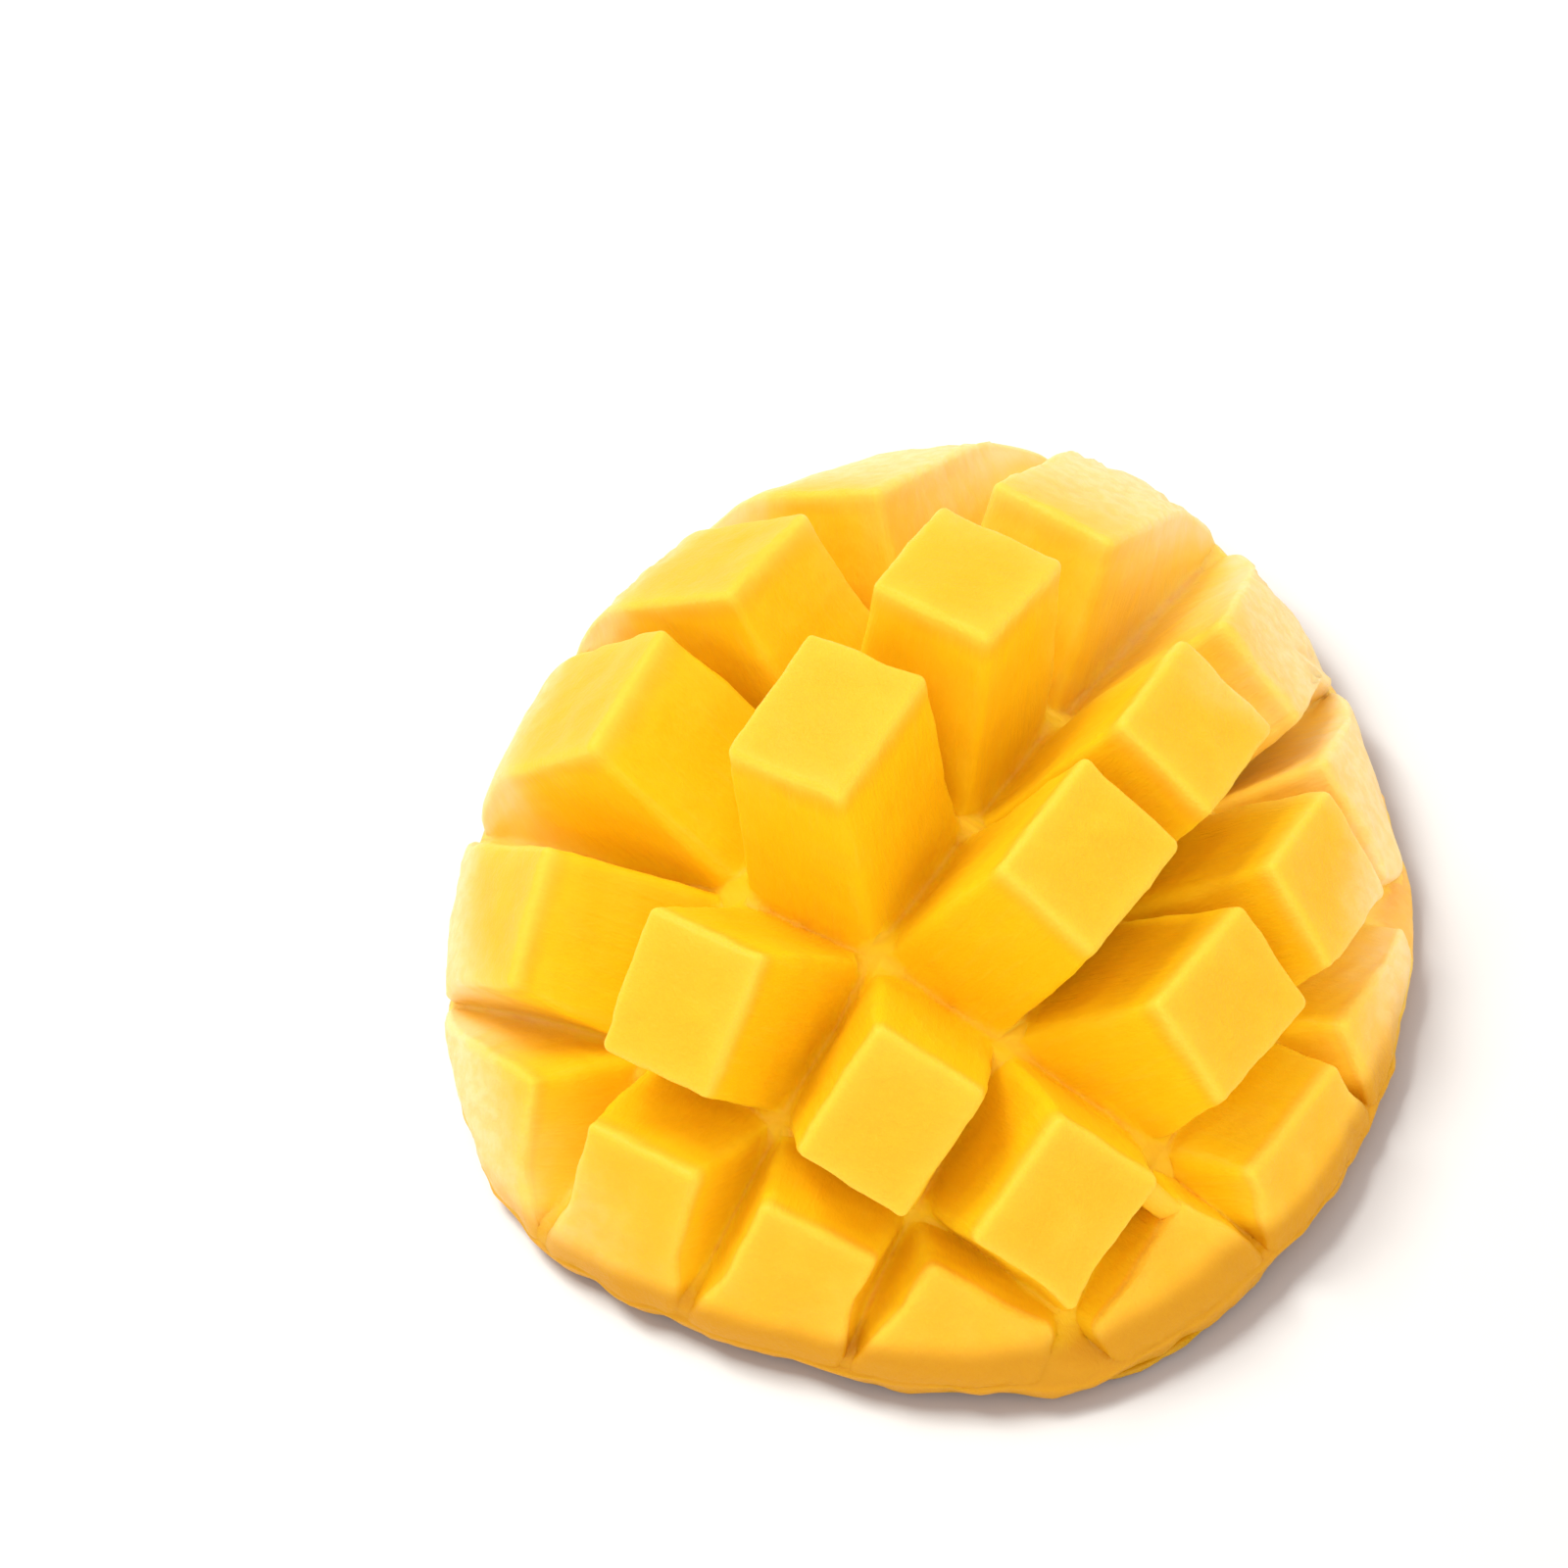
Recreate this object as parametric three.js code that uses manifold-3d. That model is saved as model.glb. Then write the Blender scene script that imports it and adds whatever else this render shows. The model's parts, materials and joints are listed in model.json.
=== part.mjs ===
import * as THREE from "three";
import { mergeVertices } from "three/addons/utils/BufferGeometryUtils.js";
import Module from "manifold-3d";

const wasm = await Module();
wasm.setup();

const DEG = Math.PI / 180;

// A mango half scored to its skin in a grid and pushed inside out, so the flesh stands up as blocks.
// Sizes are millimetres. Before turning out, the cut face is the plane z = 0 with the skin below it,
// p runs along one side of the grid and q along the other.

// The oval cut face of the half.
const FACE_P = 46.5;
const FACE_Q = 57.8;
const FACE_TURN = 12.3 * DEG;
const FACE_TAPER = 0.058;

// Slow swells that make the oval uneven: how many go round it, how much of its radius, and from where.
const FACE_SWELLS = [
  { count: 3, swell: 0.038, from: -73 },
  { count: 4, swell: 0.01, from: 163 },
  { count: 5, swell: 0.011, from: 95 },
];

// Flesh and skin at the middle, and how fully the fruit bulges towards its edge.
const FRUIT_DEPTH = 34.8;
const FRUIT_FULLNESS = 0.87;

// Knife cuts: where each crosses the middle line, and how far it strays from square in degrees.
const P_CUTS = [
  { at: -12.3, slant: -2.3 },
  { at: 4.5, slant: -0.1 },
  { at: 20.3, slant: 1 },
  { at: 35.9, slant: 1.6 },
];
const Q_CUTS = [
  { at: -35, slant: -0.2 },
  { at: -16.8, slant: -0.4 },
  { at: 3.7, slant: -1.1 },
  { at: 22.4, slant: 0 },
];

// The skin once turned out: a low dome, wider than the cut face was, uneven in spread and height.
const DOME_RISE = 14.6;
const DOME_SPREAD_P = 0.295;
const DOME_SPREAD_Q = 0.193;
const DOME_SKEW_P = 0.0012;
const DOME_SKEW_Q = 0.0004;
const DOME_WARP = 0.00013;
const DOME_TOP_P = 1.9;
const DOME_TOP_Q = -1.9;
const GRID_TURN = 32 * DEG;

// On one side the rim flares out further: how far, from where on, and which way.
const FLARE = 3.7;
const FLARE_FROM = 0.88;
const FLARE_WAY = -66 * DEG;
const FLARE_WIDE = 0.2;

// How much of the skin's turn the blocks take, and the extra lean of each strip in degrees.
const BLOCK_TURN = 0.8;
const P_STRIP_LEAN = [2.4, 0.1, 5.9, 0.7, 0.5];
const Q_STRIP_LEAN = [-1.4, -1.8, 6.7, 0.8, -2.4];

// Twist of the blocks about the upright, in degrees for each millimetre from the middle.
const SPIN_P = -0.036;
const SPIN_Q = -0.047;

// Blocks that lean on their own besides, in degrees along p and along q. The last one is held back by
// its neighbour, to which a little flesh still ties it.
const OWN_LEANS = [
  { i: 0, j: 0, p: 3, q: -6 },
  { i: 0, j: 1, p: -5, q: 0 },
  { i: 0, j: 2, p: -3, q: 0 },
  { i: 0, j: 3, p: 4.5, q: 0 },
  { i: 0, j: 4, p: 4.5, q: 0.5 },
  { i: 1, j: 0, p: 0, q: -4 },
  { i: 1, j: 1, p: -3, q: -1 },
  { i: 1, j: 2, p: 1, q: 1.5 },
  { i: 1, j: 3, p: 4, q: 0 },
  { i: 1, j: 4, p: -1, q: -2 },
  { i: 2, j: 1, p: 4, q: 0.5 },
  { i: 2, j: 2, p: 1, q: 4 },
  { i: 2, j: 3, p: 0.5, q: -3 },
  { i: 2, j: 4, p: 3, q: -1 },
  { i: 3, j: 0, p: 0, q: 7 },
  { i: 3, j: 2, p: -0.5, q: 5.5 },
  { i: 3, j: 3, p: 1, q: 4 },
  { i: 4, j: 2, p: 4, q: -2 },
  { i: 4, j: 1, p: -20, q: -1.5 },
];

// Flesh and skin left uncut under the grooves, thinning to the rim.
const UNCUT = 3.8;
const UNCUT_AT_RIM = 1;

// The skin below them, and the rounded lip that it keeps along the rim, where it still stands steep.
const SKIN = 1.4;
const LIP = 4.4;
const LIP_FROM = 0.8;
const LIP_LOWEST = 0.95;
const LIP_EDGE = 4.2;

// The face rolls over towards the rim, most on the side that stands lowest, and the blocks sink into it.
const ROLL_FROM = 0.92;
const ROLL_NEAR = 3.6;
const ROLL_FAR = 0.8;
const SINK = 0.7;

// Cuts that stop short of the rim: which cut, at which end of it, and by how much. Their floor rises
// to the cut face over a short way.
const SHORT_CUTS = [
  { way: "p", cut: 0, end: -1, by: 2.6 },
  { way: "p", cut: 1, end: -1, by: 2.6 },
  { way: "p", cut: 1, end: 1, by: 2 },
  { way: "p", cut: 2, end: -1, by: 1.8 },
  { way: "p", cut: 3, end: -1, by: 4.6 },
  { way: "q", cut: 2, end: -1, by: 4 },
  { way: "q", cut: 3, end: -1, by: 1.8 },
];
const FLOOR_RISE = 3;
const CORNER_RISE = 2;
const FLOOR_LEAST = 0.35;

// The skin bends this far to each side of a cut. Near the rim it pulls the blocks' tips along, and the
// flesh there bends as it does, so that the cuts close.
const HINGE = 2.6;
const PULL_FROM = 0.72;
const PULL = 0.7;
const BEND_FROM = 0.84;

// Eased edges of a block: distances in from the cut, and drops below the face.
const EDGE = [
  { inset: 0, drop: 1.3 },
  { inset: 0.4, drop: 0.5 },
  { inset: 1.3, drop: 0 },
];
const BLOCK_REACH = 0.975;
const LEAST_AREA = 40;
const FOOT_TRIM = 0.6;

const pAt = P_CUTS.map((cut) => cut.at);
const qAt = Q_CUTS.map((cut) => cut.at);
const pTan = P_CUTS.map((cut) => Math.tan(cut.slant * DEG));
const qTan = Q_CUTS.map((cut) => Math.tan(cut.slant * DEG));

const clamp = (x, low, high) => Math.min(Math.max(x, low), high);
const smooth = (x) => x * x * (3 - 2 * x);
const smoothFrom = (low, high, x) => smooth(clamp((x - low) / (high - low), 0, 1));

// The slant of a line between two cuts is shared between theirs.
function slantAt(at, tans, x) {
  if (x <= at[0]) return tans[0];
  for (let i = 1; i < at.length; i += 1) {
    if (x <= at[i]) {
      const share = (x - at[i - 1]) / (at[i] - at[i - 1]);
      return tans[i - 1] + share * (tans[i] - tans[i - 1]);
    }
  }
  return tans[at.length - 1];
}

// A place named by the grid lines through it, as a place on the cut face.
function faceOf(u, v) {
  const s = slantAt(pAt, pTan, u);
  const t = slantAt(qAt, qTan, v);
  const p = (u + s * v) / (1 - s * t);
  return [p, v + t * p];
}

function gridOf(p, q) {
  let u = p;
  let v = q;
  for (let k = 0; k < 8; k += 1) {
    u = p - slantAt(pAt, pTan, u) * q;
    v = q - slantAt(qAt, qTan, v) * p;
  }
  return [u, v];
}

// 0 at the middle of the oval face and 1 at its edge.
function ovalAt(p, q) {
  const c = Math.cos(FACE_TURN);
  const s = Math.sin(FACE_TURN);
  const y = (q * c - p * s) / FACE_Q;
  const x = (p * c + q * s) / FACE_P / (1 + FACE_TAPER * clamp(y, -1.5, 1.5));
  const round = Math.atan2(y, x);
  let reach = 1;
  for (const { count, swell, from } of FACE_SWELLS) reach += swell * Math.cos(count * round - from * DEG);
  return Math.hypot(x, y) / reach;
}

function depthAt(p, q) {
  const rho = ovalAt(p, q);
  return FRUIT_DEPTH * Math.max(1 - rho * rho, 0) ** FRUIT_FULLNESS;
}

// Steepness of the skin under a place, as a length ratio of 1 or more.
function slopeAt(p, q) {
  const h = 0.25;
  const dp = (depthAt(p + h, q) - depthAt(p - h, q)) / (2 * h);
  const dq = (depthAt(p, q + h) - depthAt(p, q - h)) / (2 * h);
  return Math.min(Math.hypot(1, dp, dq), 2.1);
}

// How far along a cut its line meets the rim.
function rimAlong(way, line, end) {
  let [low, high] = [0, 80];
  for (let k = 0; k < 30; k += 1) {
    const mid = (low + high) / 2;
    const at = way === "p" ? faceOf(line, end * mid) : faceOf(end * mid, line);
    if (ovalAt(...at) < 1) low = mid;
    else high = mid;
  }
  return low;
}

const shortCuts = SHORT_CUTS.map(({ way, cut, end, by }) => {
  const line = way === "p" ? pAt[cut] : qAt[cut];
  return { way, line, end, stop: rimAlong(way, line, end) - by };
});

// 1 where a cut stops short of the rim and 0 where the knife went all the way down. The two small
// corners beyond the last long cut are left whole too.
function leftAt(p, q) {
  const [u, v] = gridOf(p, q);
  const corner = Math.max(smoothFrom(0, CORNER_RISE, qAt[0] - v), smoothFrom(0, CORNER_RISE, v - qAt[3]));
  let most = corner * smoothFrom(0, CORNER_RISE, u - pAt[3]);
  for (const { way, line, end, stop } of shortCuts) {
    const [across, along] = way === "p" ? [u - line, v * end] : [v - line, u * end];
    const beside = smooth(clamp(2 - Math.abs(across) / HINGE, 0, 1));
    most = Math.max(most, beside * smoothFrom(stop - FLOOR_RISE, stop, along));
  }
  return most;
}

// How much a full cut leaves under it, measured straight down from the cut face.
function uncutAt(p, q) {
  const share = Math.min(ovalAt(p, q) ** 4, 1);
  return (UNCUT + (UNCUT_AT_RIM - UNCUT) * share) * slopeAt(p, q);
}

// How far the face has rolled over, a quarter of an ellipse out to the rim.
function rollAt(p, q) {
  const turned = (q * Math.cos(GRID_TURN) - p * Math.sin(GRID_TURN)) / Math.max(Math.hypot(p, q), 1e-6);
  const most = ROLL_FAR + (ROLL_NEAR - ROLL_FAR) * smooth(clamp(0.5 - turned / 2, 0, 1));
  const share = clamp((ovalAt(p, q) - ROLL_FROM) / (1 - ROLL_FROM), 0, 1);
  return most * (1 - Math.sqrt(1 - share * share));
}

// How far below the cut face the floor of the cuts lies, also where they stop short.
function floorAt(p, q) {
  const cut = Math.max(depthAt(p, q) - uncutAt(p, q), FLOOR_LEAST);
  return cut + (Math.min(cut, EDGE[0].drop) - cut) * leftAt(p, q) + rollAt(p, q);
}

// How far below the skin's inner side the part reaches.
function underAt(p, q) {
  const rho = Math.min(ovalAt(p, q), 1);
  if (rho < LIP_LOWEST) {
    return SKIN + (LIP - SKIN) * smoothFrom(LIP_FROM, LIP_LOWEST, rho);
  }
  const share = (rho - LIP_LOWEST) / (1 - LIP_LOWEST);
  return LIP_EDGE + (LIP - LIP_EDGE) * Math.sqrt(1 - share * share);
}

const skinAt = (p, q) => new THREE.Vector3(p, q, -depthAt(p, q));

// Where the skin under a place lies once the half is turned out.
function domeAt(p, q) {
  const rho = ovalAt(p, q);
  const square = Math.min(rho ** 2, 1.6);
  const gp = p * (1 + DOME_SPREAD_P * square) * (1 + DOME_SKEW_P * p);
  const gq = q * (1 + DOME_SPREAD_Q * square) * (1 + DOME_SKEW_Q * q);
  const c = Math.cos(GRID_TURN);
  const s = Math.sin(GRID_TURN);
  const high = ovalAt(p - DOME_TOP_P, q - DOME_TOP_Q);
  const z = DOME_RISE * (1 - high * high) - DOME_WARP * p * q;
  const [x, y] = [gp * c + gq * s, gq * c - gp * s];
  const round = Math.max(Math.hypot(x, y), 1e-6);
  const side = (x * Math.cos(FLARE_WAY) + y * Math.sin(FLARE_WAY)) / round;
  const flare = FLARE * smoothFrom(-FLARE_WIDE, 1, side) * smoothFrom(FLARE_FROM, 1, rho);
  return new THREE.Vector3(x + (x / round) * flare, y + (y / round) * flare, z);
}

// A square frame as near as can be to a surface's two directions.
function frameOf(surface, p, q) {
  const along = surface(p + 0.5, q).sub(surface(p - 0.5, q)).normalize();
  const across = surface(p, q + 0.5).sub(surface(p, q - 0.5)).normalize();
  const up = new THREE.Vector3().crossVectors(along, across).normalize();
  const mid = along.add(across).normalize();
  const side = new THREE.Vector3().crossVectors(up, mid);
  const x = mid.clone().sub(side).multiplyScalar(Math.SQRT1_2);
  const y = mid.clone().add(side).multiplyScalar(Math.SQRT1_2);
  return new THREE.Matrix4().makeBasis(x, y, up);
}

// The middle of a strip crossing, weighed over what lies inside the oval.
function middleOf(i, j) {
  let [sumP, sumQ, area] = [0, 0, 0];
  for (let p = -60; p <= 60; p += 1) {
    for (let q = -66; q <= 66; q += 1) {
      const [u, v] = gridOf(p, q);
      const inP = (i === 0 || u > pAt[i - 1]) && (i === 4 || u < pAt[i]);
      const inQ = (j === 0 || v > qAt[j - 1]) && (j === 4 || v < qAt[j]);
      if (inP && inQ && ovalAt(p, q) < 1) {
        sumP += p;
        sumQ += q;
        area += 1;
      }
    }
  }
  return { p: sumP / area, q: sumQ / area, area };
}

const P_AXIS = new THREE.Vector3(Math.cos(GRID_TURN), -Math.sin(GRID_TURN), 0);
const Q_AXIS = new THREE.Vector3(Math.sin(GRID_TURN), Math.cos(GRID_TURN), 0);

// The rigid move that takes one block from the half to the turned-out dome.
function blockMove(i, j, p, q) {
  const turn = frameOf(domeAt, p, q).multiply(frameOf(skinAt, p, q).transpose());
  const up = new THREE.Vector3(0, 0, 1).applyMatrix4(turn);
  const axis = new THREE.Vector3(-up.y, up.x, 0);
  const lean = Math.atan2(axis.length(), up.z);
  const ease = new THREE.Matrix4().makeRotationAxis(axis.normalize(), lean * (BLOCK_TURN - 1));
  const spin = SPIN_P * p + SPIN_Q * q;
  const own = OWN_LEANS.find((lean) => lean.i === i && lean.j === j) ?? { p: 0, q: 0 };
  const move = new THREE.Matrix4().makeRotationAxis(Q_AXIS, (P_STRIP_LEAN[i] + own.p) * DEG);
  const other = new THREE.Matrix4();
  move.multiply(other.makeRotationAxis(P_AXIS, -(Q_STRIP_LEAN[j] + own.q) * DEG));
  move.multiply(other.makeRotationZ(spin * DEG));
  move.multiply(ease).multiply(turn);
  const seat = skinAt(p, q).applyMatrix4(move);
  return move.setPosition(domeAt(p, q).sub(seat));
}

const blocks = [];
for (let i = 0; i < 5; i += 1) {
  for (let j = 0; j < 5; j += 1) {
    const { p, q, area } = middleOf(i, j);
    if (area > 2) blocks.push({ i, j, area, move: blockMove(i, j, p, q) });
  }
}

// How much each strip carries a place: all of it inside, shared across a cut.
function stripShares(at, x) {
  const steps = at.map((cut) => smooth(clamp((x - cut) / HINGE / 2 + 0.5, 0, 1)));
  const shares = [1 - steps[0]];
  for (let k = 1; k < at.length; k += 1) shares.push(steps[k - 1] - steps[k]);
  shares.push(steps[at.length - 1]);
  return shares;
}

// A place in the half, carried by the blocks around it.
function carried(p, q, z) {
  const [u, v] = gridOf(p, q);
  const pShare = stripShares(pAt, u);
  const qShare = stripShares(qAt, v);
  const out = new THREE.Vector3();
  let total = 0;
  for (const block of blocks) {
    const share = pShare[block.i] * qShare[block.j];
    if (share > 0) {
      out.addScaledVector(new THREE.Vector3(p, q, z).applyMatrix4(block.move), share);
      total += share;
    }
  }
  return out.multiplyScalar(1 / total);
}

// How far the skin near the rim pulls a place away from where the blocks would carry it.
function pullAt(p, q) {
  const share = PULL * smoothFrom(PULL_FROM, 1, ovalAt(p, q));
  return domeAt(p, q).sub(carried(p, q, -depthAt(p, q))).multiplyScalar(share);
}

const turnedOut = (p, q, z) => carried(p, q, z).add(pullAt(p, q));

// A place in one block, which is stiff at its face and spreads at its foot to meet its neighbours.
function stoodUp(move, p, q, z) {
  const roll = rollAt(p, q) + SINK * smoothFrom(ROLL_FROM, BLOCK_REACH, ovalAt(p, q));
  const wall = Math.max(depthAt(p, q) - 0.5 * uncutAt(p, q) - EDGE[0].drop, 2);
  const spreads = clamp((-z - EDGE[0].drop) / wall, 0, 1);
  const share = Math.max(spreads, smoothFrom(BEND_FROM, 1, ovalAt(p, q)));
  const firm = new THREE.Vector3(p, q, z - roll).applyMatrix4(move);
  return firm.lerp(carried(p, q, z - roll), share).add(pullAt(p, q));
}

function spread(stops, step) {
  const lines = [stops[0]];
  for (let k = 1; k < stops.length; k += 1) {
    const gap = stops[k] - stops[k - 1];
    const parts = Math.max(1, Math.round(gap / step));
    for (let n = 1; n <= parts; n += 1) lines.push(stops[k - 1] + (gap * n) / parts);
  }
  return lines;
}

// Triangles over the part of a grid that lies inside the oval, cut off along it.
function patchOf(uLines, vLines, reach) {
  const places = [];
  const known = new Map();
  const place = (key, p, q, edge) => {
    if (!known.has(key)) {
      known.set(key, places.length);
      places.push({ p, q, edge });
    }
    return known.get(key);
  };
  const corner = ([a, b]) => faceOf(uLines[a], vLines[b]);
  const inside = (at) => ovalAt(...corner(at)) < reach;
  const crossing = (here, next) => {
    const [first, last] = inside(here) ? [corner(here), corner(next)] : [corner(next), corner(here)];
    let [low, high] = [0, 1];
    let [p, q] = first;
    for (let k = 0; k < 30; k += 1) {
      const mid = (low + high) / 2;
      p = first[0] + (last[0] - first[0]) * mid;
      q = first[1] + (last[1] - first[1]) * mid;
      if (ovalAt(p, q) < reach) low = mid;
      else high = mid;
    }
    return place([here.join(), next.join()].sort().join(" "), p, q, true);
  };
  const faces = [];
  for (let a = 0; a + 1 < uLines.length; a += 1) {
    for (let b = 0; b + 1 < vLines.length; b += 1) {
      const ring = [
        [a, b],
        [a + 1, b],
        [a + 1, b + 1],
        [a, b + 1],
      ];
      const loop = [];
      ring.forEach((here, n) => {
        const next = ring[(n + 1) % 4];
        if (inside(here)) loop.push(place(here.join(), ...corner(here), false));
        if (inside(here) !== inside(next)) loop.push(crossing(here, next));
      });
      for (let n = 1; n + 1 < loop.length; n += 1) faces.push([loop[0], loop[n], loop[n + 1]]);
    }
  }
  return { places, faces };
}

// Rings of triangles from a patch's oval edge out to the rim.
function addRings({ places, faces }, rings) {
  let loop = places.map((row, n) => n).filter((n) => places[n].edge);
  const turnOf = (n) => Math.atan2(places[n].q, places[n].p);
  loop.sort((m, n) => turnOf(m) - turnOf(n));
  for (const rho of rings) {
    const outer = loop.map((n) => {
      const { p, q } = places[n];
      const scale = rho / ovalAt(p, q);
      places.push({ p: p * scale, q: q * scale });
      return places.length - 1;
    });
    outer.forEach((n, k) => {
      const m = (k + 1) % outer.length;
      faces.push([loop[k], outer[k], outer[m]], [loop[k], outer[m], loop[m]]);
    });
    loop = outer;
  }
}

// A closed slab: a patch on top, the same patch below, and walls along its border.
function slabOf({ places, faces }, topOf, bottomOf) {
  const count = places.length;
  const points = [...places.map(({ p, q }) => topOf(p, q)), ...places.map(({ p, q }) => bottomOf(p, q))];
  const borders = new Map();
  for (const face of faces) {
    face.forEach((a, n) => {
      const b = face[(n + 1) % 3];
      if (borders.has(`${b} ${a}`)) borders.delete(`${b} ${a}`);
      else borders.set(`${a} ${b}`, [a, b]);
    });
  }
  const index = [...faces, ...faces.map(([a, b, c]) => [a + count, c + count, b + count])];
  for (const [a, b] of borders.values()) {
    index.push([a, a + count, b + count], [a, b + count, b]);
  }
  const geometry = new THREE.BufferGeometry();
  const flat = new Float32Array(points.flatMap((point) => point.toArray()));
  geometry.setAttribute("position", new THREE.BufferAttribute(flat, 3));
  geometry.setIndex(index.flat());
  return geometry;
}

function solidOf(geometry) {
  const bare = geometry.clone();
  for (const name of Object.keys(bare.attributes)) {
    if (name !== "position") bare.deleteAttribute(name);
  }
  const merged = mergeVertices(bare, 1e-4);
  const mesh = new wasm.Mesh({
    numProp: 3,
    vertProperties: merged.attributes.position.array,
    triVerts: new Uint32Array(merged.index.array),
  });
  return new wasm.Manifold(mesh);
}

// The uncut layer: skin below, groove floors above, one sheet from rim to rim.
function uncutLayer() {
  const near = (at) => at.flatMap((cut) => [cut - HINGE, cut, cut + HINGE]);
  const uLines = spread([-62, ...near(pAt), 62], 7.5);
  const vLines = spread([-70, ...near(qAt), 70], 7.5);
  const patch = patchOf(uLines, vLines, 0.86);
  addRings(patch, [0.9, LIP_LOWEST, 0.975, 0.99, 1]);
  return slabOf(
    patch,
    (p, q) => turnedOut(p, q, -floorAt(p, q)),
    (p, q) => turnedOut(p, q, -depthAt(p, q) - underAt(p, q)),
  );
}

// Lines across a strip between two cuts, close together along its eased edges.
function stripLines(at, k, reach, step) {
  const low = k === 0 ? [-reach] : EDGE.map(({ inset }) => at[k - 1] + inset);
  const high = k === at.length ? [reach] : EDGE.map(({ inset }) => at[k] - inset).reverse();
  return spread([...low, ...high], step);
}

function dropAt(distance) {
  for (let k = 1; k < EDGE.length; k += 1) {
    if (distance < EDGE[k].inset) {
      const share = (distance - EDGE[k - 1].inset) / (EDGE[k].inset - EDGE[k - 1].inset);
      return EDGE[k - 1].drop + (EDGE[k].drop - EDGE[k - 1].drop) * share;
    }
  }
  return 0;
}

function blockSlab({ i, j, move }) {
  const patch = patchOf(stripLines(pAt, i, 62, 8), stripLines(qAt, j, 70, 8), BLOCK_REACH);
  const sides = [
    [pAt[i - 1], 0],
    [pAt[i], 0],
    [qAt[j - 1], 1],
    [qAt[j], 1],
  ].filter(([cut]) => cut !== undefined);
  const topOf = (p, q) => {
    const at = gridOf(p, q);
    const distance = Math.min(...sides.map(([cut, way]) => Math.abs(at[way] - cut)));
    return stoodUp(move, p, q, -dropAt(distance));
  };
  const bottomOf = (p, q) => {
    const deep = Math.max(depthAt(p, q) - 0.5 * uncutAt(p, q), EDGE[0].drop + 0.1);
    return stoodUp(move, p, q, -deep);
  };
  return slabOf(patch, topOf, bottomOf);
}

// Flesh across a cut in one row of blocks, where the knife stopped short.
function webGeometry(row, u, v, z) {
  const web = new THREE.BoxGeometry(u[1] - u[0], v[1] - v[0], z[1] - z[0], 6, 2, 1);
  web.translate((u[0] + u[1]) / 2, (v[0] + v[1]) / 2, (z[0] + z[1]) / 2);
  const place = web.attributes.position;
  for (let n = 0; n < place.count; n += 1) {
    const [p, q] = faceOf(place.getX(n), place.getY(n));
    const share = stripShares(pAt, place.getX(n));
    const point = pullAt(p, q);
    for (const { i, move } of blocks.filter(({ j }) => j === row)) {
      point.addScaledVector(new THREE.Vector3(p, q, place.getZ(n)).applyMatrix4(move), share[i]);
    }
    place.setXYZ(n, point.x, point.y, point.z);
  }
  return web;
}

let whole = solidOf(uncutLayer());
for (const block of blocks) {
  if (block.area > LEAST_AREA) whole = whole.add(solidOf(blockSlab(block)));
}
const web = webGeometry(1, [pAt[3] - 3.2, pAt[3] + 3.2], [qAt[1] - 4.6, qAt[1] - 0.5], [-9, -0.5]);
whole = whole.add(solidOf(web));

// The rim's lowest places are pressed flat where the half rests.
const box = whole.boundingBox();
const foot = box.min[2] + FOOT_TRIM;
const centre = [(box.min[0] + box.max[0]) / 2, (box.min[1] + box.max[1]) / 2];
const table = new THREE.BoxGeometry(300, 300, 50);
table.translate(0, 0, foot - 25);
whole = whole.subtract(solidOf(table)).translate([-centre[0], -centre[1], -foot]);

const made = whole.getMesh();
const geometry = new THREE.BufferGeometry();
geometry.setAttribute("position", new THREE.BufferAttribute(made.vertProperties, 3));
geometry.setIndex(new THREE.BufferAttribute(made.triVerts, 1));
const body = new THREE.Mesh(
  geometry,
  new THREE.MeshStandardMaterial({ color: 0xf5b922, roughness: 0.45, metalness: 0 }),
);
body.name = "mango_half";

const group = new THREE.Group();
group.add(body);

export default group;
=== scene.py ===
import json
import math

import bpy
import numpy as np
from mathutils import Matrix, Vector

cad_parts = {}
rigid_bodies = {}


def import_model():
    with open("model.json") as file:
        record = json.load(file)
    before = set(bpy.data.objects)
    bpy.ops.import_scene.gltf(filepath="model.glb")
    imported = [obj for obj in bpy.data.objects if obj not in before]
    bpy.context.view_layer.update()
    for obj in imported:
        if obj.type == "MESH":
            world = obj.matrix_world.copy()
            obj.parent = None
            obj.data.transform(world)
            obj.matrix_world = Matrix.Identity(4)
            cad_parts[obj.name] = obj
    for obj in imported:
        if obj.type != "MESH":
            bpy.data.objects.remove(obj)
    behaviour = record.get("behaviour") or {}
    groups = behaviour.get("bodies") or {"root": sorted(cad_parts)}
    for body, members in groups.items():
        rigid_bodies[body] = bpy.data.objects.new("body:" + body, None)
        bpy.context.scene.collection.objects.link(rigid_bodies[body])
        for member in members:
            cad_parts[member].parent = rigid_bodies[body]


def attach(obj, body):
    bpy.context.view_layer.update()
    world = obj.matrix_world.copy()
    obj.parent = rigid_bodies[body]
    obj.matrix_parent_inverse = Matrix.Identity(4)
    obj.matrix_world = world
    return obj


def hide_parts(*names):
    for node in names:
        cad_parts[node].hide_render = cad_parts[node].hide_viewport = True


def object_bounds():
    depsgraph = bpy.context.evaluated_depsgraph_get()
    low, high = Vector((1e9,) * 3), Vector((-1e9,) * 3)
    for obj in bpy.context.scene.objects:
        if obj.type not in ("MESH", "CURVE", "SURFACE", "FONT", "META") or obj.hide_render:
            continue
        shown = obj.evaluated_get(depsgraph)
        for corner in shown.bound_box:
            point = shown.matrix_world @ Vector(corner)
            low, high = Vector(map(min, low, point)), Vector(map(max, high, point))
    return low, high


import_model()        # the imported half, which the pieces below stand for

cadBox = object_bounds()
print("frame loaded", [round(float(x), 4) for x in cadBox[1]])


# The half before and after it is turned inside out. Lengths are in millimetres and angles in degrees.
# The cut face is the plane z = 0, with the skin below it; p and q run along the two ways of the knife.

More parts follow.
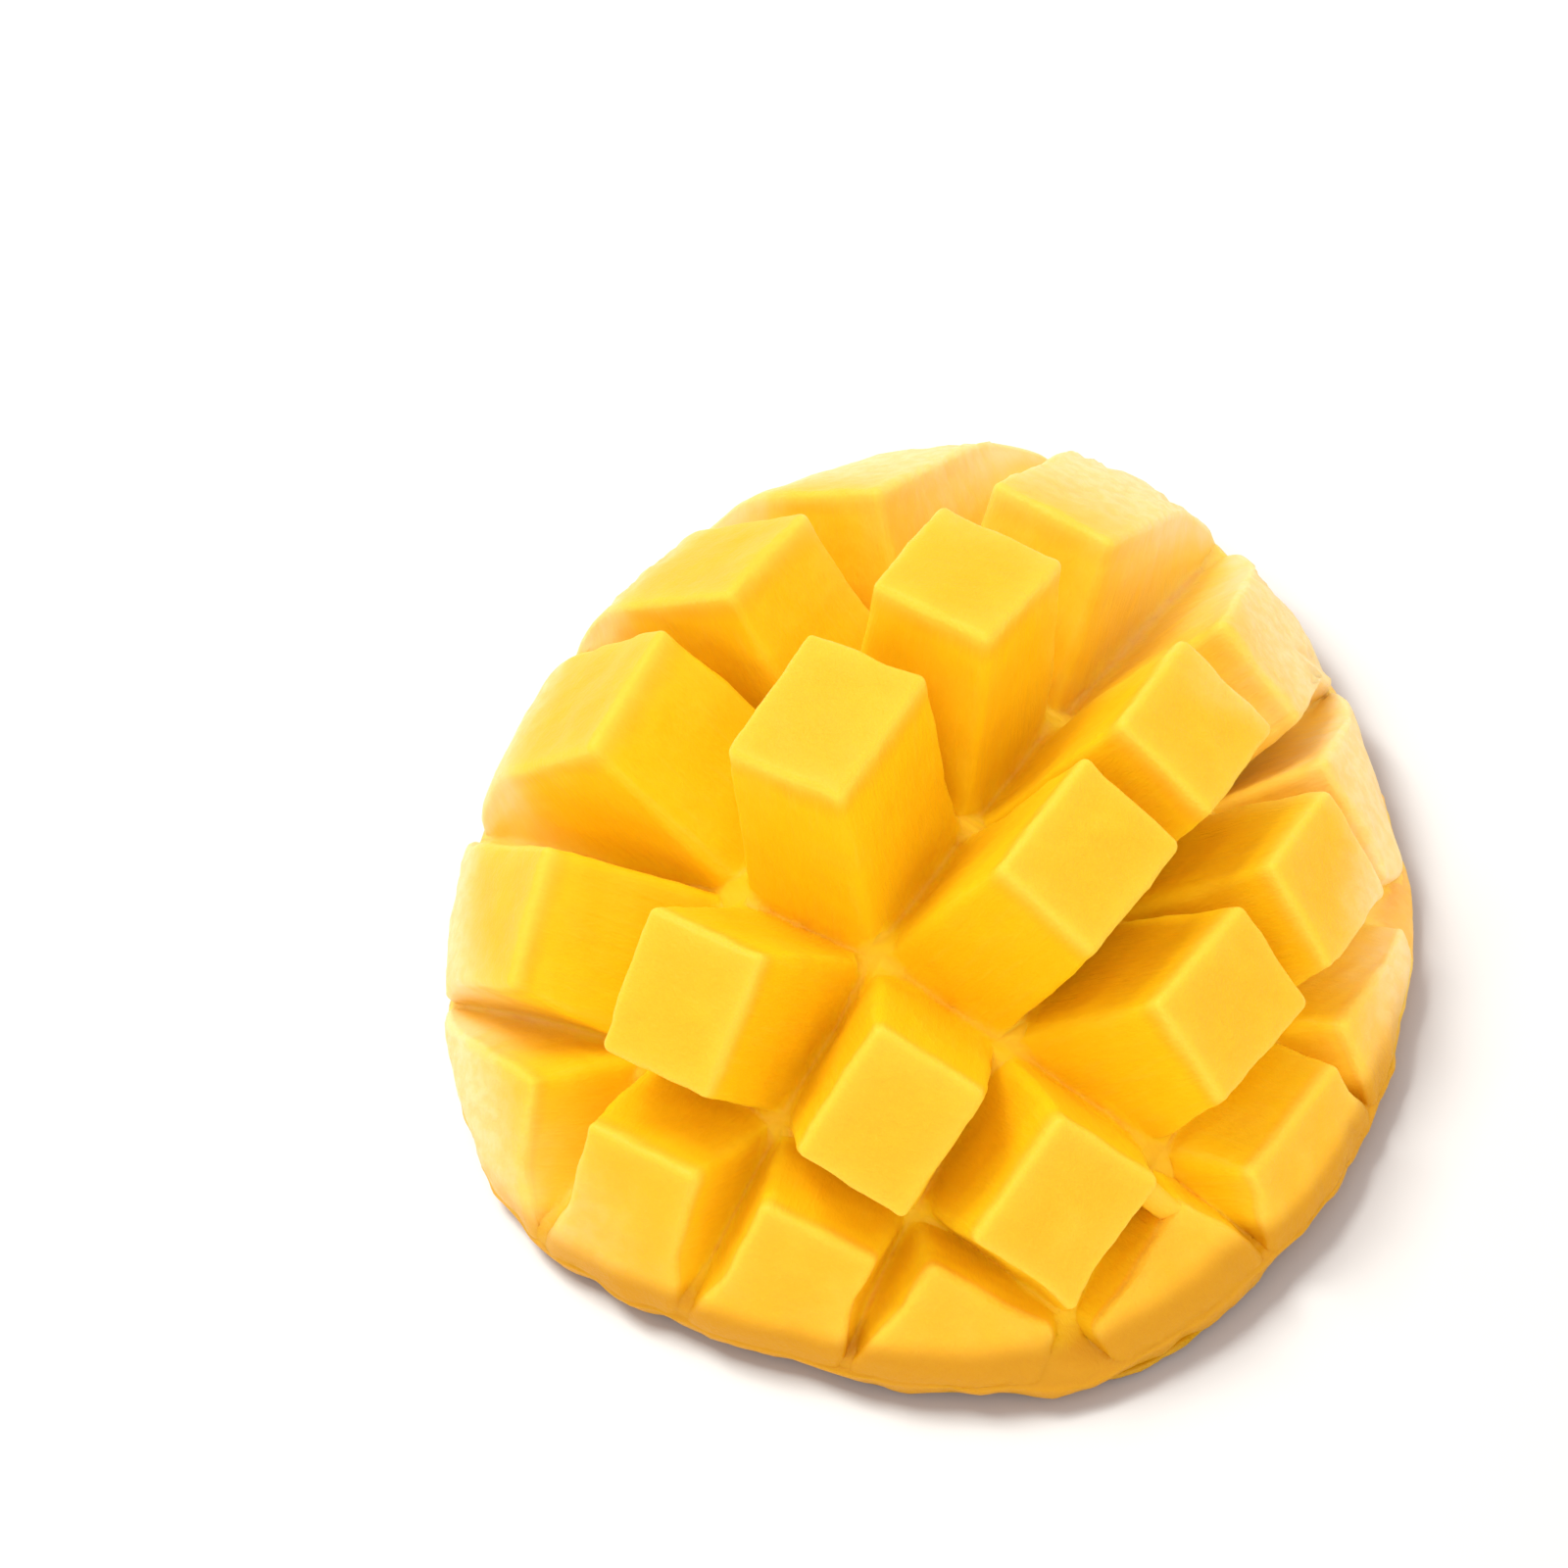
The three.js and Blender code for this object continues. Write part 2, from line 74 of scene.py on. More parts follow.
half = {
    "faceP": 46.5, "faceQ": 57.8, "faceTurn": 12.3, "faceTaper": 0.058,
    "swells": ((3, 0.038, -73), (4, 0.010, 163), (5, 0.011, 95)), "taperEnds": 1.5,
    "depth": 34.8, "fullness": 0.87, "steepest": 2.1,
    "pCuts": (-12.3, 4.5, 20.3, 35.9), "pSlants": (-2.3, -0.1, 1.0, 1.6),
    "qCuts": (-35.0, -16.8, 3.7, 22.4), "qSlants": (-0.2, -0.4, -1.1, 0.0),
    "uncut": 3.8, "uncutAtRim": 1.0,
    "shortCuts": (("p", 0, -1, 2.6), ("p", 1, -1, 2.6), ("p", 1, 1, 2.0), ("p", 2, -1, 1.8),
                  ("p", 3, -1, 4.6), ("q", 2, -1, 4.0), ("q", 3, -1, 1.8)),
    "floorRise": 3.0, "cornerRise": 2.0, "floorLeast": 0.35, "floorDepth": 0.83, "shortDrop": 1.0,
    "skin": 1.4, "lip": 4.4, "lipFrom": 0.8, "lipLowest": 0.95, "lipEdge": 4.2,
    "rollFrom": 0.92, "rollNear": 3.6, "rollFar": 0.8, "sink": 0.7,
}
turned = {
    "rise": 14.6, "topP": 1.9, "topQ": -1.9, "warp": 0.00013,
    "spreadP": 0.295, "spreadQ": 0.193, "spreadMost": 1.6, "skewP": 0.0012, "skewQ": 0.0004,
    "gridTurn": 32.0, "blockTurn": 0.8,
    "pLeans": (2.4, 0.1, 5.9, 0.7, 0.5), "qLeans": (-1.4, -1.8, 6.7, 0.8, -2.4),
    "spinP": -0.036, "spinQ": -0.047,
    "flare": 3.7, "flareFrom": 0.88, "flareWay": -66.0, "flareWide": 0.2,
    "hinge": 2.6, "pullFrom": 0.72, "pull": 0.7, "bendFrom": 0.84,
    "carryFrom": 2.0, "footTrim": 0.6,
}

# Blocks that lean on their own besides: row and place, then degrees along p and along q.
ownLeans = {
    (0, 0): (3.0, -6.0), (0, 1): (-5.0, 0.0), (0, 2): (-3.0, 0.0), (0, 3): (4.5, 0.0), (0, 4): (4.5, 0.5),
    (1, 0): (0.0, -4.0), (1, 1): (-3.0, -1.0), (1, 2): (1.0, 1.5), (1, 3): (4.0, 0.0), (1, 4): (-1.0, -2.0),
    (2, 1): (4.0, 0.5), (2, 2): (1.0, 4.0), (2, 3): (0.5, -3.0), (2, 4): (3.0, -1.0),
    (3, 0): (0.0, 7.0), (3, 2): (-0.5, 5.5), (3, 3): (1.0, 4.0),
    (4, 2): (4.0, -2.0), (4, 1): (-20.0, -1.5),
}

pCuts = np.array(half["pCuts"])
qCuts = np.array(half["qCuts"])
pTans = np.tan(np.radians(half["pSlants"]))
qTans = np.tan(np.radians(half["qSlants"]))
pStrips, qStrips = len(pCuts) + 1, len(qCuts) + 1
tiny = 1e-6                 # keeps a division by a length away from zero


# A smooth step from 0 to 1: 3x² - 2x³ between them.
def smooth(x):
    x = np.clip(x, 0.0, 1.0)
    return x * x * (3 - 2 * x)


# Where grid line u crosses grid line v: two straight lines, each a little off square.
def faceOf(u, v):
    s = np.interp(u, pCuts, pTans)
    t = np.interp(v, qCuts, qTans)
    p = (u + s * v) / (1 - s * t)
    return p, v + t * p


# The same the other way round, by repeated substitution.
def gridOf(p, q):
    u, v = p, q
    for _ in range(8):
        u, v = p - np.interp(u, pCuts, pTans) * q, q - np.interp(v, qCuts, qTans) * p
    return u, v


# 0 in the middle of the cut face and 1 on its edge: an ellipse, tapered, with slow swells round it.
def ovalAt(p, q):
    turn = math.radians(half["faceTurn"])
    y = (q * math.cos(turn) - p * math.sin(turn)) / half["faceQ"]
    x = (p * math.cos(turn) + q * math.sin(turn)) / half["faceP"]
    ends = half["taperEnds"]
    x = x / (1 + half["faceTaper"] * np.clip(y, -ends, ends))
    way = np.arctan2(y, x)
    swells = [high * np.cos(many * way - math.radians(start)) for many, high, start in half["swells"]]
    return np.hypot(x, y) / (1 + sum(swells))


# The skin's depth under the cut face: full in the middle and falling as a bulging bowl to the edge.
def depthAt(p, q):
    return half["depth"] * np.maximum(1 - ovalAt(p, q) ** 2, 0.0) ** half["fullness"]


# The length of the skin along its slope for one across, up to a limit near the rim.
def slopeAt(p, q):
    h = 0.25
    dp = (depthAt(p + h, q) - depthAt(p - h, q)) / (2 * h)
    dq = (depthAt(p, q + h) - depthAt(p, q - h)) / (2 * h)
    return np.minimum(np.sqrt(1 + dp * dp + dq * dq), half["steepest"])


# Flesh and skin left whole under a cut, measured straight down.
def uncutAt(p, q):
    share = np.minimum(ovalAt(p, q) ** 4, 1.0)
    return (half["uncut"] + (half["uncutAtRim"] - half["uncut"]) * share) * slopeAt(p, q)


# How far along a cut its line meets the rim: the distance at which the oval's measure passes 1.
def rimAlong(way, line, end):
    far = np.linspace(0, 80, 801)      # every tenth of a millimetre
    fixed = np.full(far.shape, line)
    places = faceOf(fixed, end * far) if way == "p" else faceOf(end * far, fixed)
    return np.interp(1.0, ovalAt(*places), far)


# 1 where a cut stops short of the rim and 0 where the knife went all the way down: a smooth step along
# the cut, times one across it. The two small corners beyond the last long cut are left whole too.
def leftAt(p, q):
    u, v = gridOf(p, q)
    rise = half["cornerRise"]
    beyond = np.maximum(smooth((qCuts[0] - v) / rise), smooth((v - qCuts[-1]) / rise))
    most = smooth((u - pCuts[-1]) / rise) * beyond
    for way, cut, end, by in half["shortCuts"]:
        line = (pCuts if way == "p" else qCuts)[cut]
        across, along = (u - line, v * end) if way == "p" else (v - line, u * end)
        stop = rimAlong(way, line, end) - by
        beside = smooth(2 - np.abs(across) / turned["hinge"])
        most = np.maximum(most, beside * smooth((along - stop) / half["floorRise"] + 1))
    return most


# How far the face rolls over towards the rim: a quarter of an ellipse, deepest on the side that stands
# lowest.
def rollAt(p, q):
    grid = math.radians(turned["gridTurn"])
    side = 0.5 - (q * math.cos(grid) - p * math.sin(grid)) / np.maximum(np.hypot(p, q), tiny) / 2
    most = half["rollFar"] + (half["rollNear"] - half["rollFar"]) * smooth(side)
    share = np.clip((ovalAt(p, q) - half["rollFrom"]) / (1 - half["rollFrom"]), 0, 1)
    return most * (1 - np.sqrt(1 - share * share))


# How far below the cut face the floor of the cuts lies, also where they stop short.
def floorAt(p, q):
    cut = np.maximum(depthAt(p, q) - half["floorDepth"] * uncutAt(p, q), half["floorLeast"])
    return cut + (np.minimum(cut, half["shortDrop"]) - cut) * leftAt(p, q) + rollAt(p, q)


# How far the half reaches below the skin's inner side: thin, then a smooth rise to the lip's lowest
# place, then a quarter of an ellipse up to the rim.
def underAt(p, q):
    rho = np.minimum(ovalAt(p, q), 1.0)
    lowest = half["lipLowest"]
    rise = smooth((rho - half["lipFrom"]) / (lowest - half["lipFrom"]))
    inner = half["skin"] + (half["lip"] - half["skin"]) * rise
    share = np.clip((rho - lowest) / (1 - lowest), 0, 1)
    outer = half["lipEdge"] + (half["lip"] - half["lipEdge"]) * np.sqrt(1 - share * share)
    return np.where(rho < lowest, inner, outer)


# The skin's inner side before the half is turned out.
def skinAt(p, q):
    return np.stack([p, q, -depthAt(p, q)], -1)


# The skin once turned out: the oval spread wider towards its rim and raised as a low dome. On one side
# the rim flares out further: a smooth step towards the rim times one of the cosine round it.
def domeAt(p, q):
    rho = ovalAt(p, q)
    square = np.minimum(rho ** 2, turned["spreadMost"])
    gp = p * (1 + turned["spreadP"] * square) * (1 + turned["skewP"] * p)
    gq = q * (1 + turned["spreadQ"] * square) * (1 + turned["skewQ"] * q)
    turn = math.radians(turned["gridTurn"])
    c, s = math.cos(turn), math.sin(turn)
    z = turned["rise"] * (1 - ovalAt(p - turned["topP"], q - turned["topQ"]) ** 2) - turned["warp"] * p * q
    x, y = gp * c + gq * s, gq * c - gp * s
    far = np.maximum(np.hypot(x, y), tiny)
    way = math.radians(turned["flareWay"])
    side = (x * math.cos(way) + y * math.sin(way)) / far
    side = smooth((side + turned["flareWide"]) / (1 + turned["flareWide"]))
    flare = turned["flare"] * side * smooth((rho - turned["flareFrom"]) / (1 - turned["flareFrom"]))
    return np.stack([x + x / far * flare, y + y / far * flare, z], -1)


# Vectors brought to a length of 1.
def unit(v):
    return v / np.maximum(np.linalg.norm(v, axis=-1, keepdims=True), 1e-12)


# A square frame at a place on a surface, as near as can be to the surface's own two directions.
def frameOf(surface, p, q):
    along = unit(surface(p + 0.5, q) - surface(p - 0.5, q))
    across = unit(surface(p, q + 0.5) - surface(p, q - 0.5))
    up = unit(np.cross(along, across))
    mid = unit(along + across)
    side = np.cross(up, mid)
    return np.stack([(mid - side) / math.sqrt(2), (mid + side) / math.sqrt(2), up], -1)


# Turns by an angle about a unit axis, one for each row (Rodrigues' formula).
def turnAbout(axis, degrees):
    a = np.radians(np.asarray(degrees, float))[..., None, None]
    x, y, z = np.moveaxis(np.broadcast_to(axis, np.shape(degrees) + (3,)), -1, 0)
    o = np.zeros_like(x)
    k = np.stack([np.stack([o, -z, y], -1), np.stack([z, o, -x], -1), np.stack([-y, x, o], -1)], -2)
    return np.eye(3) + np.sin(a) * k + (1 - np.cos(a)) * (k @ k)


# One stiff move for each crossing of the strips: a turn from the bowl's slope towards the dome's, a lean
# for its two strips and a spin, seated where the dome carries its skin. A crossing's area and middle are
# counted on a grid of one millimetre.
def blockMoves():
    p, q = [g.ravel() for g in np.meshgrid(np.arange(-60.0, 61.0), np.arange(-66.0, 67.0))]
    u, v = gridOf(p, q)
    cell = np.searchsorted(pCuts, u) * qStrips + np.searchsorted(qCuts, v)
    many = pStrips * qStrips
    inside = (ovalAt(p, q) < 1).astype(float)
    area = np.bincount(cell, inside, many)
    p = np.bincount(cell, inside * p, many) / np.maximum(area, 1)
    q = np.bincount(cell, inside * q, many) / np.maximum(area, 1)
    turn = frameOf(domeAt, p, q) @ np.swapaxes(frameOf(skinAt, p, q), 1, 2)
    up = turn[:, :, 2]
    axis = np.stack([-up[:, 1], up[:, 0], 0 * up[:, 0]], -1)
    lean = np.degrees(np.arctan2(np.linalg.norm(axis, axis=1), up[:, 2]))
    turn = turnAbout(unit(axis), lean * (turned["blockTurn"] - 1)) @ turn
    grid = math.radians(turned["gridTurn"])
    pAxis = np.array([math.cos(grid), -math.sin(grid), 0.0])
    qAxis = np.array([math.sin(grid), math.cos(grid), 0.0])
    pLean = np.repeat(turned["pLeans"], qStrips)
    qLean = np.tile(turned["qLeans"], pStrips)
    for (i, j), (alongP, alongQ) in ownLeans.items():
        pLean[i * qStrips + j] += alongP
        qLean[i * qStrips + j] += alongQ
    spin = turnAbout(np.array([0.0, 0.0, 1.0]), turned["spinP"] * p + turned["spinQ"] * q)
    turn = turnAbout(qAxis, pLean) @ turnAbout(pAxis, -qLean) @ spin @ turn
    seat = domeAt(p, q) - np.einsum("nij,nj->ni", turn, skinAt(p, q))
    return turn, seat, area


blockTurns, blockSeats, blockAreas = blockMoves()


# Each strip's share at x: all of it inside the strip, with a smooth step over the hinge at each cut.
def stripShares(cuts, x):
    steps = [smooth((x - cut) / turned["hinge"] / 2 + 0.5) for cut in cuts]
    between = [steps[k - 1] - steps[k] for k in range(1, len(cuts))]
    return np.stack([1 - steps[0], *between, steps[-1]], -1)


# A place in the half, carried by the blocks around it, each by its share across the hinges. Slivers at the
# corners of the grid carry nothing.
def carried(p, q, z):
    u, v = gridOf(p, q)
    shares = stripShares(pCuts, u)[..., :, None] * stripShares(qCuts, v)[..., None, :]
    shares = shares.reshape(p.shape + (pStrips * qStrips,))
    shares = shares * (blockAreas > turned["carryFrom"])
    shares = shares / shares.sum(-1, keepdims=True)
    place = np.stack([p, q, z], -1)
    moved = np.einsum("kij,...j->...ki", blockTurns, place) + blockSeats
    return (moved * shares[..., None]).sum(-2)


# Near the rim the skin keeps to the smooth dome and pulls what it carries along.
def pullAt(p, q):
    share = turned["pull"] * smooth((ovalAt(p, q) - turned["pullFrom"]) / (1 - turned["pullFrom"]))
    return share[..., None] * (domeAt(p, q) - carried(p, q, -depthAt(p, q)))


# Near the rim the flesh isn't stiff any more: it bends over the cuts as the skin does.
def bendAt(p, q):
    return smooth((ovalAt(p, q) - turned["bendFrom"]) / (1 - turned["bendFrom"]))


# Where a place in the uncut layer ends up.
def turnedOut(p, q, z):
    return carried(p, q, z) + pullAt(p, q)


# Quads of a grid of rows and columns of point numbers.
def gridQuads(numbers):
    a, b = numbers[:-1, :-1], numbers[1:, :-1]
    c, d = numbers[1:, 1:], numbers[:-1, 1:]
    return np.stack([a, b, c, d], -1).reshape(-1, 4)


# Point numbers round the border of a grid, once round and back to the first.
def borderOf(numbers):
    ring = [numbers[:, 0], numbers[-1, 1:], numbers[-2::-1, -1], numbers[0, -2::-1]]
    return np.concatenate(ring)


# Points, quads and the marks carried at every point, put into a new object.
def objectOf(name, points, quads, marks):
    mesh = bpy.data.meshes.new(name)
    mesh.vertices.add(len(points))
    mesh.vertices.foreach_set("co", (points / 1000).astype(np.float32).ravel())
    mesh.loops.add(quads.size)
    mesh.loops.foreach_set("vertex_index", quads.astype(np.int32).ravel())
    mesh.polygons.add(len(quads))
    mesh.polygons.foreach_set("loop_start", np.arange(0, quads.size, 4, dtype=np.int32))
    mesh.polygons.foreach_set("loop_total", np.full(len(quads), 4, np.int32))
    mesh.update()
    corners = quads.ravel()
    for mark, values in marks.items():
        isVector = values.ndim == 2
        layer = mesh.attributes.new(mark, "FLOAT_VECTOR" if isVector else "FLOAT", "CORNER")
        flat = values[corners].astype(np.float32).ravel()
        layer.data.foreach_set("vector" if isVector else "value", flat)
    mesh.validate()
    made = bpy.data.objects.new(name, mesh)
    bpy.context.scene.collection.objects.link(made)
    return made


blockShape = {
    "reach": 0.985, "beyondP": 62.0, "beyondQ": 72.0, "leastArea": 40, "leastLong": 0.25, "thinnest": 0.02,
    "ease": 1.15, "easeLines": 7, "step": 1.1, "squeezeFrom": 2.2, "levels": 22, "levelPower": 1.1,
    "footDepth": 0.62, "footLeast": 0.1, "wallLeast": 2.0, "footFall": 0.85,
    "border": 2.6, "borderShare": 0.6, "wallFade": 28.0,
}


# Where each line of constant u meets the oval of the given reach, at its low and its high end.
def ovalSpan(u, reach):
    v = np.linspace(-blockShape["beyondQ"], blockShape["beyondQ"], 1441)      # every tenth of a millimetre
    rho = ovalAt(*faceOf(u[:, None], v[None, :]))
    inside = rho < reach
    first = np.argmax(inside, 1)
    last = len(v) - 1 - np.argmax(inside[:, ::-1], 1)
    rows = np.arange(len(u))
    found = inside.any(1) & (first > 0) & (last < len(v) - 1)
    first, last = np.maximum(first, 1), np.minimum(last, len(v) - 2)
    lowShare = (rho[rows, first - 1] - reach) / (rho[rows, first - 1] - rho[rows, first])
    highShare = (reach - rho[rows, last]) / (rho[rows, last + 1] - rho[rows, last])
    step = v[1] - v[0]
    low = np.where(found, v[first - 1] + step * lowShare, 0.0)
    high = np.where(found, v[last] + step * highShare, 0.0)
    return low, high


# Lines from low to high: close together over the eased edge at both ends and even between them, with the
# ends squeezed where the strip is short.
def linesAcross(low, high, longest):
    ease = blockShape["ease"]
    near = ease * (1 - np.cos(np.radians(np.linspace(0, 90, blockShape["easeLines"]))))
    many = max(2, int(round((longest - 2 * ease) / blockShape["step"])))
    middle = np.linspace(0, 1, many + 1)[1:-1]
    length = high - low
    squeeze = np.minimum(1.0, length / (blockShape["squeezeFrom"] * ease))[..., None]
    near = near * squeeze
    gap = length[..., None] - 2 * near[..., -1:]
    inner = near[..., -1:] + gap * middle
    low, high = low[..., None], high[..., None]
    return np.concatenate([low + near, low + inner, (high - near)[..., ::-1]], -1)


# The cuts on both sides of strip number k, or lines beyond the rim where there is no cut.
def stripEnds(cuts, k, beyond):
    return (cuts[k - 1] if k > 0 else -beyond), (cuts[k] if k < len(cuts) else beyond)


# The grid over a block's share of the cut face: from cut to cut, or to the oval where there is no cut.
def blockGrid(i, j):
    pLow, pHigh = stripEnds(pCuts, i, blockShape["beyondP"])
    qLow, qHigh = stripEnds(qCuts, j, blockShape["beyondQ"])
    reach = blockShape["reach"]
    tryU = np.linspace(pLow, pHigh, 600)
    low, high = ovalSpan(tryU, reach)
    low, high = np.maximum(low, qLow), np.minimum(high, qHigh)
    there = tryU[high - low > blockShape["leastLong"]]
    uLine = linesAcross(np.array(there.min()), np.array(there.max()), there.max() - there.min())
    low, high = ovalSpan(uLine, reach)
    low, high = np.maximum(low, qLow), np.minimum(high, qHigh)
    high = np.maximum(high, low + blockShape["thinnest"])
    v = linesAcross(low, high, float((high - low).max()))
    return np.broadcast_to(uLine[:, None], v.shape), v


# One block: its top is a grid over its share of the cut face, eased along the cuts as a quarter circle.
# The wall falls straight from the top's border to a foot that meets its neighbours', and the foot is
# closed by the same grid.
def blockPiece(i, j):
    number = i * qStrips + j
    u, v = blockGrid(i, j)
    pLow, pHigh = stripEnds(pCuts, i, np.inf)         # so that only cuts have an eased edge
    qLow, qHigh = stripEnds(qCuts, j, np.inf)
    toLowP, toHighP, toLowQ, toHighQ = u - pLow, pHigh - u, v - qLow, qHigh - v
    ease = blockShape["ease"]
    side = np.minimum(np.minimum(toLowP, toHighP), np.minimum(toLowQ, toHighQ))
    a = np.maximum(ease - np.minimum(toLowP, toHighP), 0.0)
    b = np.maximum(ease - np.minimum(toLowQ, toHighQ), 0.0)
    turn = np.maximum(a, b) / np.maximum(np.hypot(a, b), tiny)
    turn = np.where((a > 0) & (b > 0), turn, 1.0)
    u = u + a * (1 - turn) * np.where(toLowP < toHighP, 1, -1)
    v = v + b * (1 - turn) * np.where(toLowQ < toHighQ, 1, -1)
    a, b = a * turn, b * turn
    p, q = faceOf(u, v)
    rho = ovalAt(p, q)
    drop = ease - np.sqrt(np.maximum(ease ** 2 - a * a - b * b, 0.0))
    sink = smooth((rho - half["rollFrom"]) / (blockShape["reach"] - half["rollFrom"]))
    roll = rollAt(p, q) + half["sink"] * sink

    footAt = depthAt(p, q) - blockShape["footDepth"] * uncutAt(p, q)
    deep = np.maximum(footAt, drop + blockShape["footLeast"]) + roll
    wallDeep = np.maximum(footAt - ease, blockShape["wallLeast"])
    bend = bendAt(p, q)

    def stoodUp(z):
        share = np.maximum(np.clip((-z - roll - ease) / wallDeep, 0, 1), bend)[..., None]
        place = np.stack([p, q, z], -1)
        firm = np.einsum("ij,...j->...i", blockTurns[number], place) + blockSeats[number]
        return firm * (1 - share) + carried(p, q, z) * share + pullAt(p, q)

    top, foot = stoodUp(-drop - roll), stoodUp(-deep)
    numbers = np.arange(p.size).reshape(p.shape)
    ring = borderOf(numbers)[:-1]
    levels = np.linspace(0, 1, blockShape["levels"])[1:-1] ** blockShape["levelPower"]
    flatTop, flatFoot = top.reshape(-1, 3), foot.reshape(-1, 3)
    wall = flatTop[ring] + (flatFoot[ring] - flatTop[ring]) * levels[:, None, None]
    count = p.size
    wallNumbers = 2 * count + np.arange(len(levels) * len(ring)).reshape(len(levels), len(ring))
    wallNumbers = np.concatenate([ring[None], wallNumbers, ring[None] + count])
    wallNumbers = np.concatenate([wallNumbers, wallNumbers[:, :1]], 1)
    points = np.concatenate([flatTop, flatFoot, wall.reshape(-1, 3)])
    closing = gridQuads(numbers + count)[:, ::-1]
    quads = np.concatenate([gridQuads(numbers), closing, gridQuads(wallNumbers)])

    # How far down the wall each point is, which sets the painted light and shade down the walls.
    ringFall = np.repeat(levels, len(ring))
    fall = blockShape["footFall"] * np.concatenate([np.zeros(count), np.ones(count), ringFall])
    pAll, qAll = [np.concatenate([x, x, np.tile(x[ring], len(levels))]) for x in (p.ravel(), q.ravel())]
    ringTop, ringDeep = (drop + roll).ravel()[ring], deep.ravel()[ring]
    ringZ = -(ringTop + (ringDeep - ringTop) * levels[:, None]).ravel()
    zAll = np.concatenate([-(drop + roll).ravel(), -deep.ravel(), ringZ])
    # The painted highlight along the eased edges: strongest on the rounding and near the top's border,
    # fading fast down the wall.
    borderShare = blockShape["borderShare"]
    highlightOnRounding = np.clip(drop / ease, 0, 1)
    topHighlight = borderShare * np.exp(-side / blockShape["border"]) + (1 - borderShare) * highlightOnRounding
    wallHighlight = np.repeat(np.exp(-levels * blockShape["wallFade"]), len(ring))
    edge = np.concatenate([topHighlight.ravel(), np.zeros(count), wallHighlight])
    marks = {
        "place": np.stack([pAll, qAll, zAll], -1) / 1000,
        "fall": fall, "edge": edge, "rim": np.clip(ovalAt(pAll, qAll), 0, 1),
        "gold": lowRimShadeAt(pAll, qAll), "cream": creamAt(pAll, qAll),
    }
    return objectOf("block_%d_%d" % (i, j), points, quads, marks)


sheetShape = {
    "across": 96, "along": 118, "crowd": 0.86, "round": 0.975, "roundLeast": 0.06,
    "peel": 0.9, "peelReach": 0.955, "peelFade": 0.03, "overlap": 0.06,
    "goldWay": -76.0, "goldLeast": 0.2, "goldMost": 0.8, "shadeFrom": 0.89, "shadeFull": 0.955,
    "creamFrom": 0.6, "creamFull": 0.94, "creamLess": 0.9,
    "creamWay": 56.0, "creamMore": 0.42, "creamSide": 0.6, "creamWide": 0.3,
}


# Numbers from -1 to 1, closer together at both ends, as a sine runs.
def crowded(many):
    crowd = sheetShape["crowd"]
    return np.sin(np.linspace(-1, 1, many) * math.pi / 2 * crowd) / math.sin(math.pi / 2 * crowd)


# A grid over the whole oval: a square bent to a disc (x sqrt(1 - y²/2)), then to the oval's reach.
def discGrid(across, along, reach):
    x, y = np.meshgrid(crowded(across), crowded(along), indexing="ij")
    p = x * np.sqrt(1 - y * y / 2)
    q = y * np.sqrt(1 - x * x / 2)
    rho = np.hypot(p, q)
    turn = math.radians(half["faceTurn"])
    fp, fq = p * half["faceP"], q * half["faceQ"]
    fp, fq = fp * math.cos(turn) - fq * math.sin(turn), fp * math.sin(turn) + fq * math.cos(turn)
    scale = reach * rho / np.maximum(ovalAt(fp, fq), tiny)
    scale = np.where(rho < tiny, 1.0, scale)
    return fp * scale, fq * scale


# Two skins over the oval, one above the other, closed round the rim. Each height is a function of the
# place, and near the rim both come together as a half circle would.
def layerPiece(name, reach, topOf, bottomOf):
    p, q = discGrid(sheetShape["across"], sheetShape["along"], reach)
    rho = ovalAt(p, q) / reach
    top, bottom = topOf(p, q), bottomOf(p, q)
    near = np.clip((rho - sheetShape["round"]) / (1 - sheetShape["round"]), 0, 1)
    least = sheetShape["roundLeast"]
    bulge = np.sqrt(np.maximum(1 - near * near, 0.0)) * (1 - least) + least
    middle = (top + bottom) / 2
    top, bottom = middle + (top - middle) * bulge, middle + (bottom - middle) * bulge
    numbers = np.arange(p.size).reshape(p.shape)
    ring = borderOf(numbers)
    rim = np.stack([ring, ring + p.size])
    points = np.concatenate([turnedOut(p, q, top).reshape(-1, 3), turnedOut(p, q, bottom).reshape(-1, 3)])
    quads = np.concatenate([gridQuads(numbers), gridQuads(numbers + p.size)[:, ::-1], gridQuads(rim)])
    return objectOf(name, points, quads, layerMarks(p, q, top, bottom))


# How much a place lies on the side that faces a way in the frame: the cosine of the angle between them.
def sideAt(p, q, way):
    way = math.radians(way + turned["gridTurn"])
    return (p * math.cos(way) + q * math.sin(way)) / np.maximum(np.hypot(p, q), tiny)


# 1 on the side where the rim stands lowest and 0 on the others: a smooth step of the cosine round it.
def nearAt(p, q):
    side = sideAt(p, q, sheetShape["goldWay"])
    return smooth((side - sheetShape["goldLeast"]) / (sheetShape["goldMost"] - sheetShape["goldLeast"]))


# 1 on the band of painted shade, in dark gold, along the rim's low side.
def lowRimShadeAt(p, q):
    start = sheetShape["shadeFrom"]
    return nearAt(p, q) * smooth((ovalAt(p, q) - start) / (sheetShape["shadeFull"] - start))


# How much of the cream of the flesh under the skin shows: more towards the rim, less on its low side,
# where the painted shade in gold takes its place, and from further in on the side opposite it.
def creamAt(p, q):
    side = sideAt(p, q, sheetShape["creamWay"])
    more = smooth((side - sheetShape["creamSide"]) / sheetShape["creamWide"])
    start = sheetShape["creamFrom"] - sheetShape["creamMore"] * more
    share = smooth((ovalAt(p, q) - start) / (sheetShape["creamFull"] - start))
    return share * (1 - sheetShape["creamLess"] * nearAt(p, q))
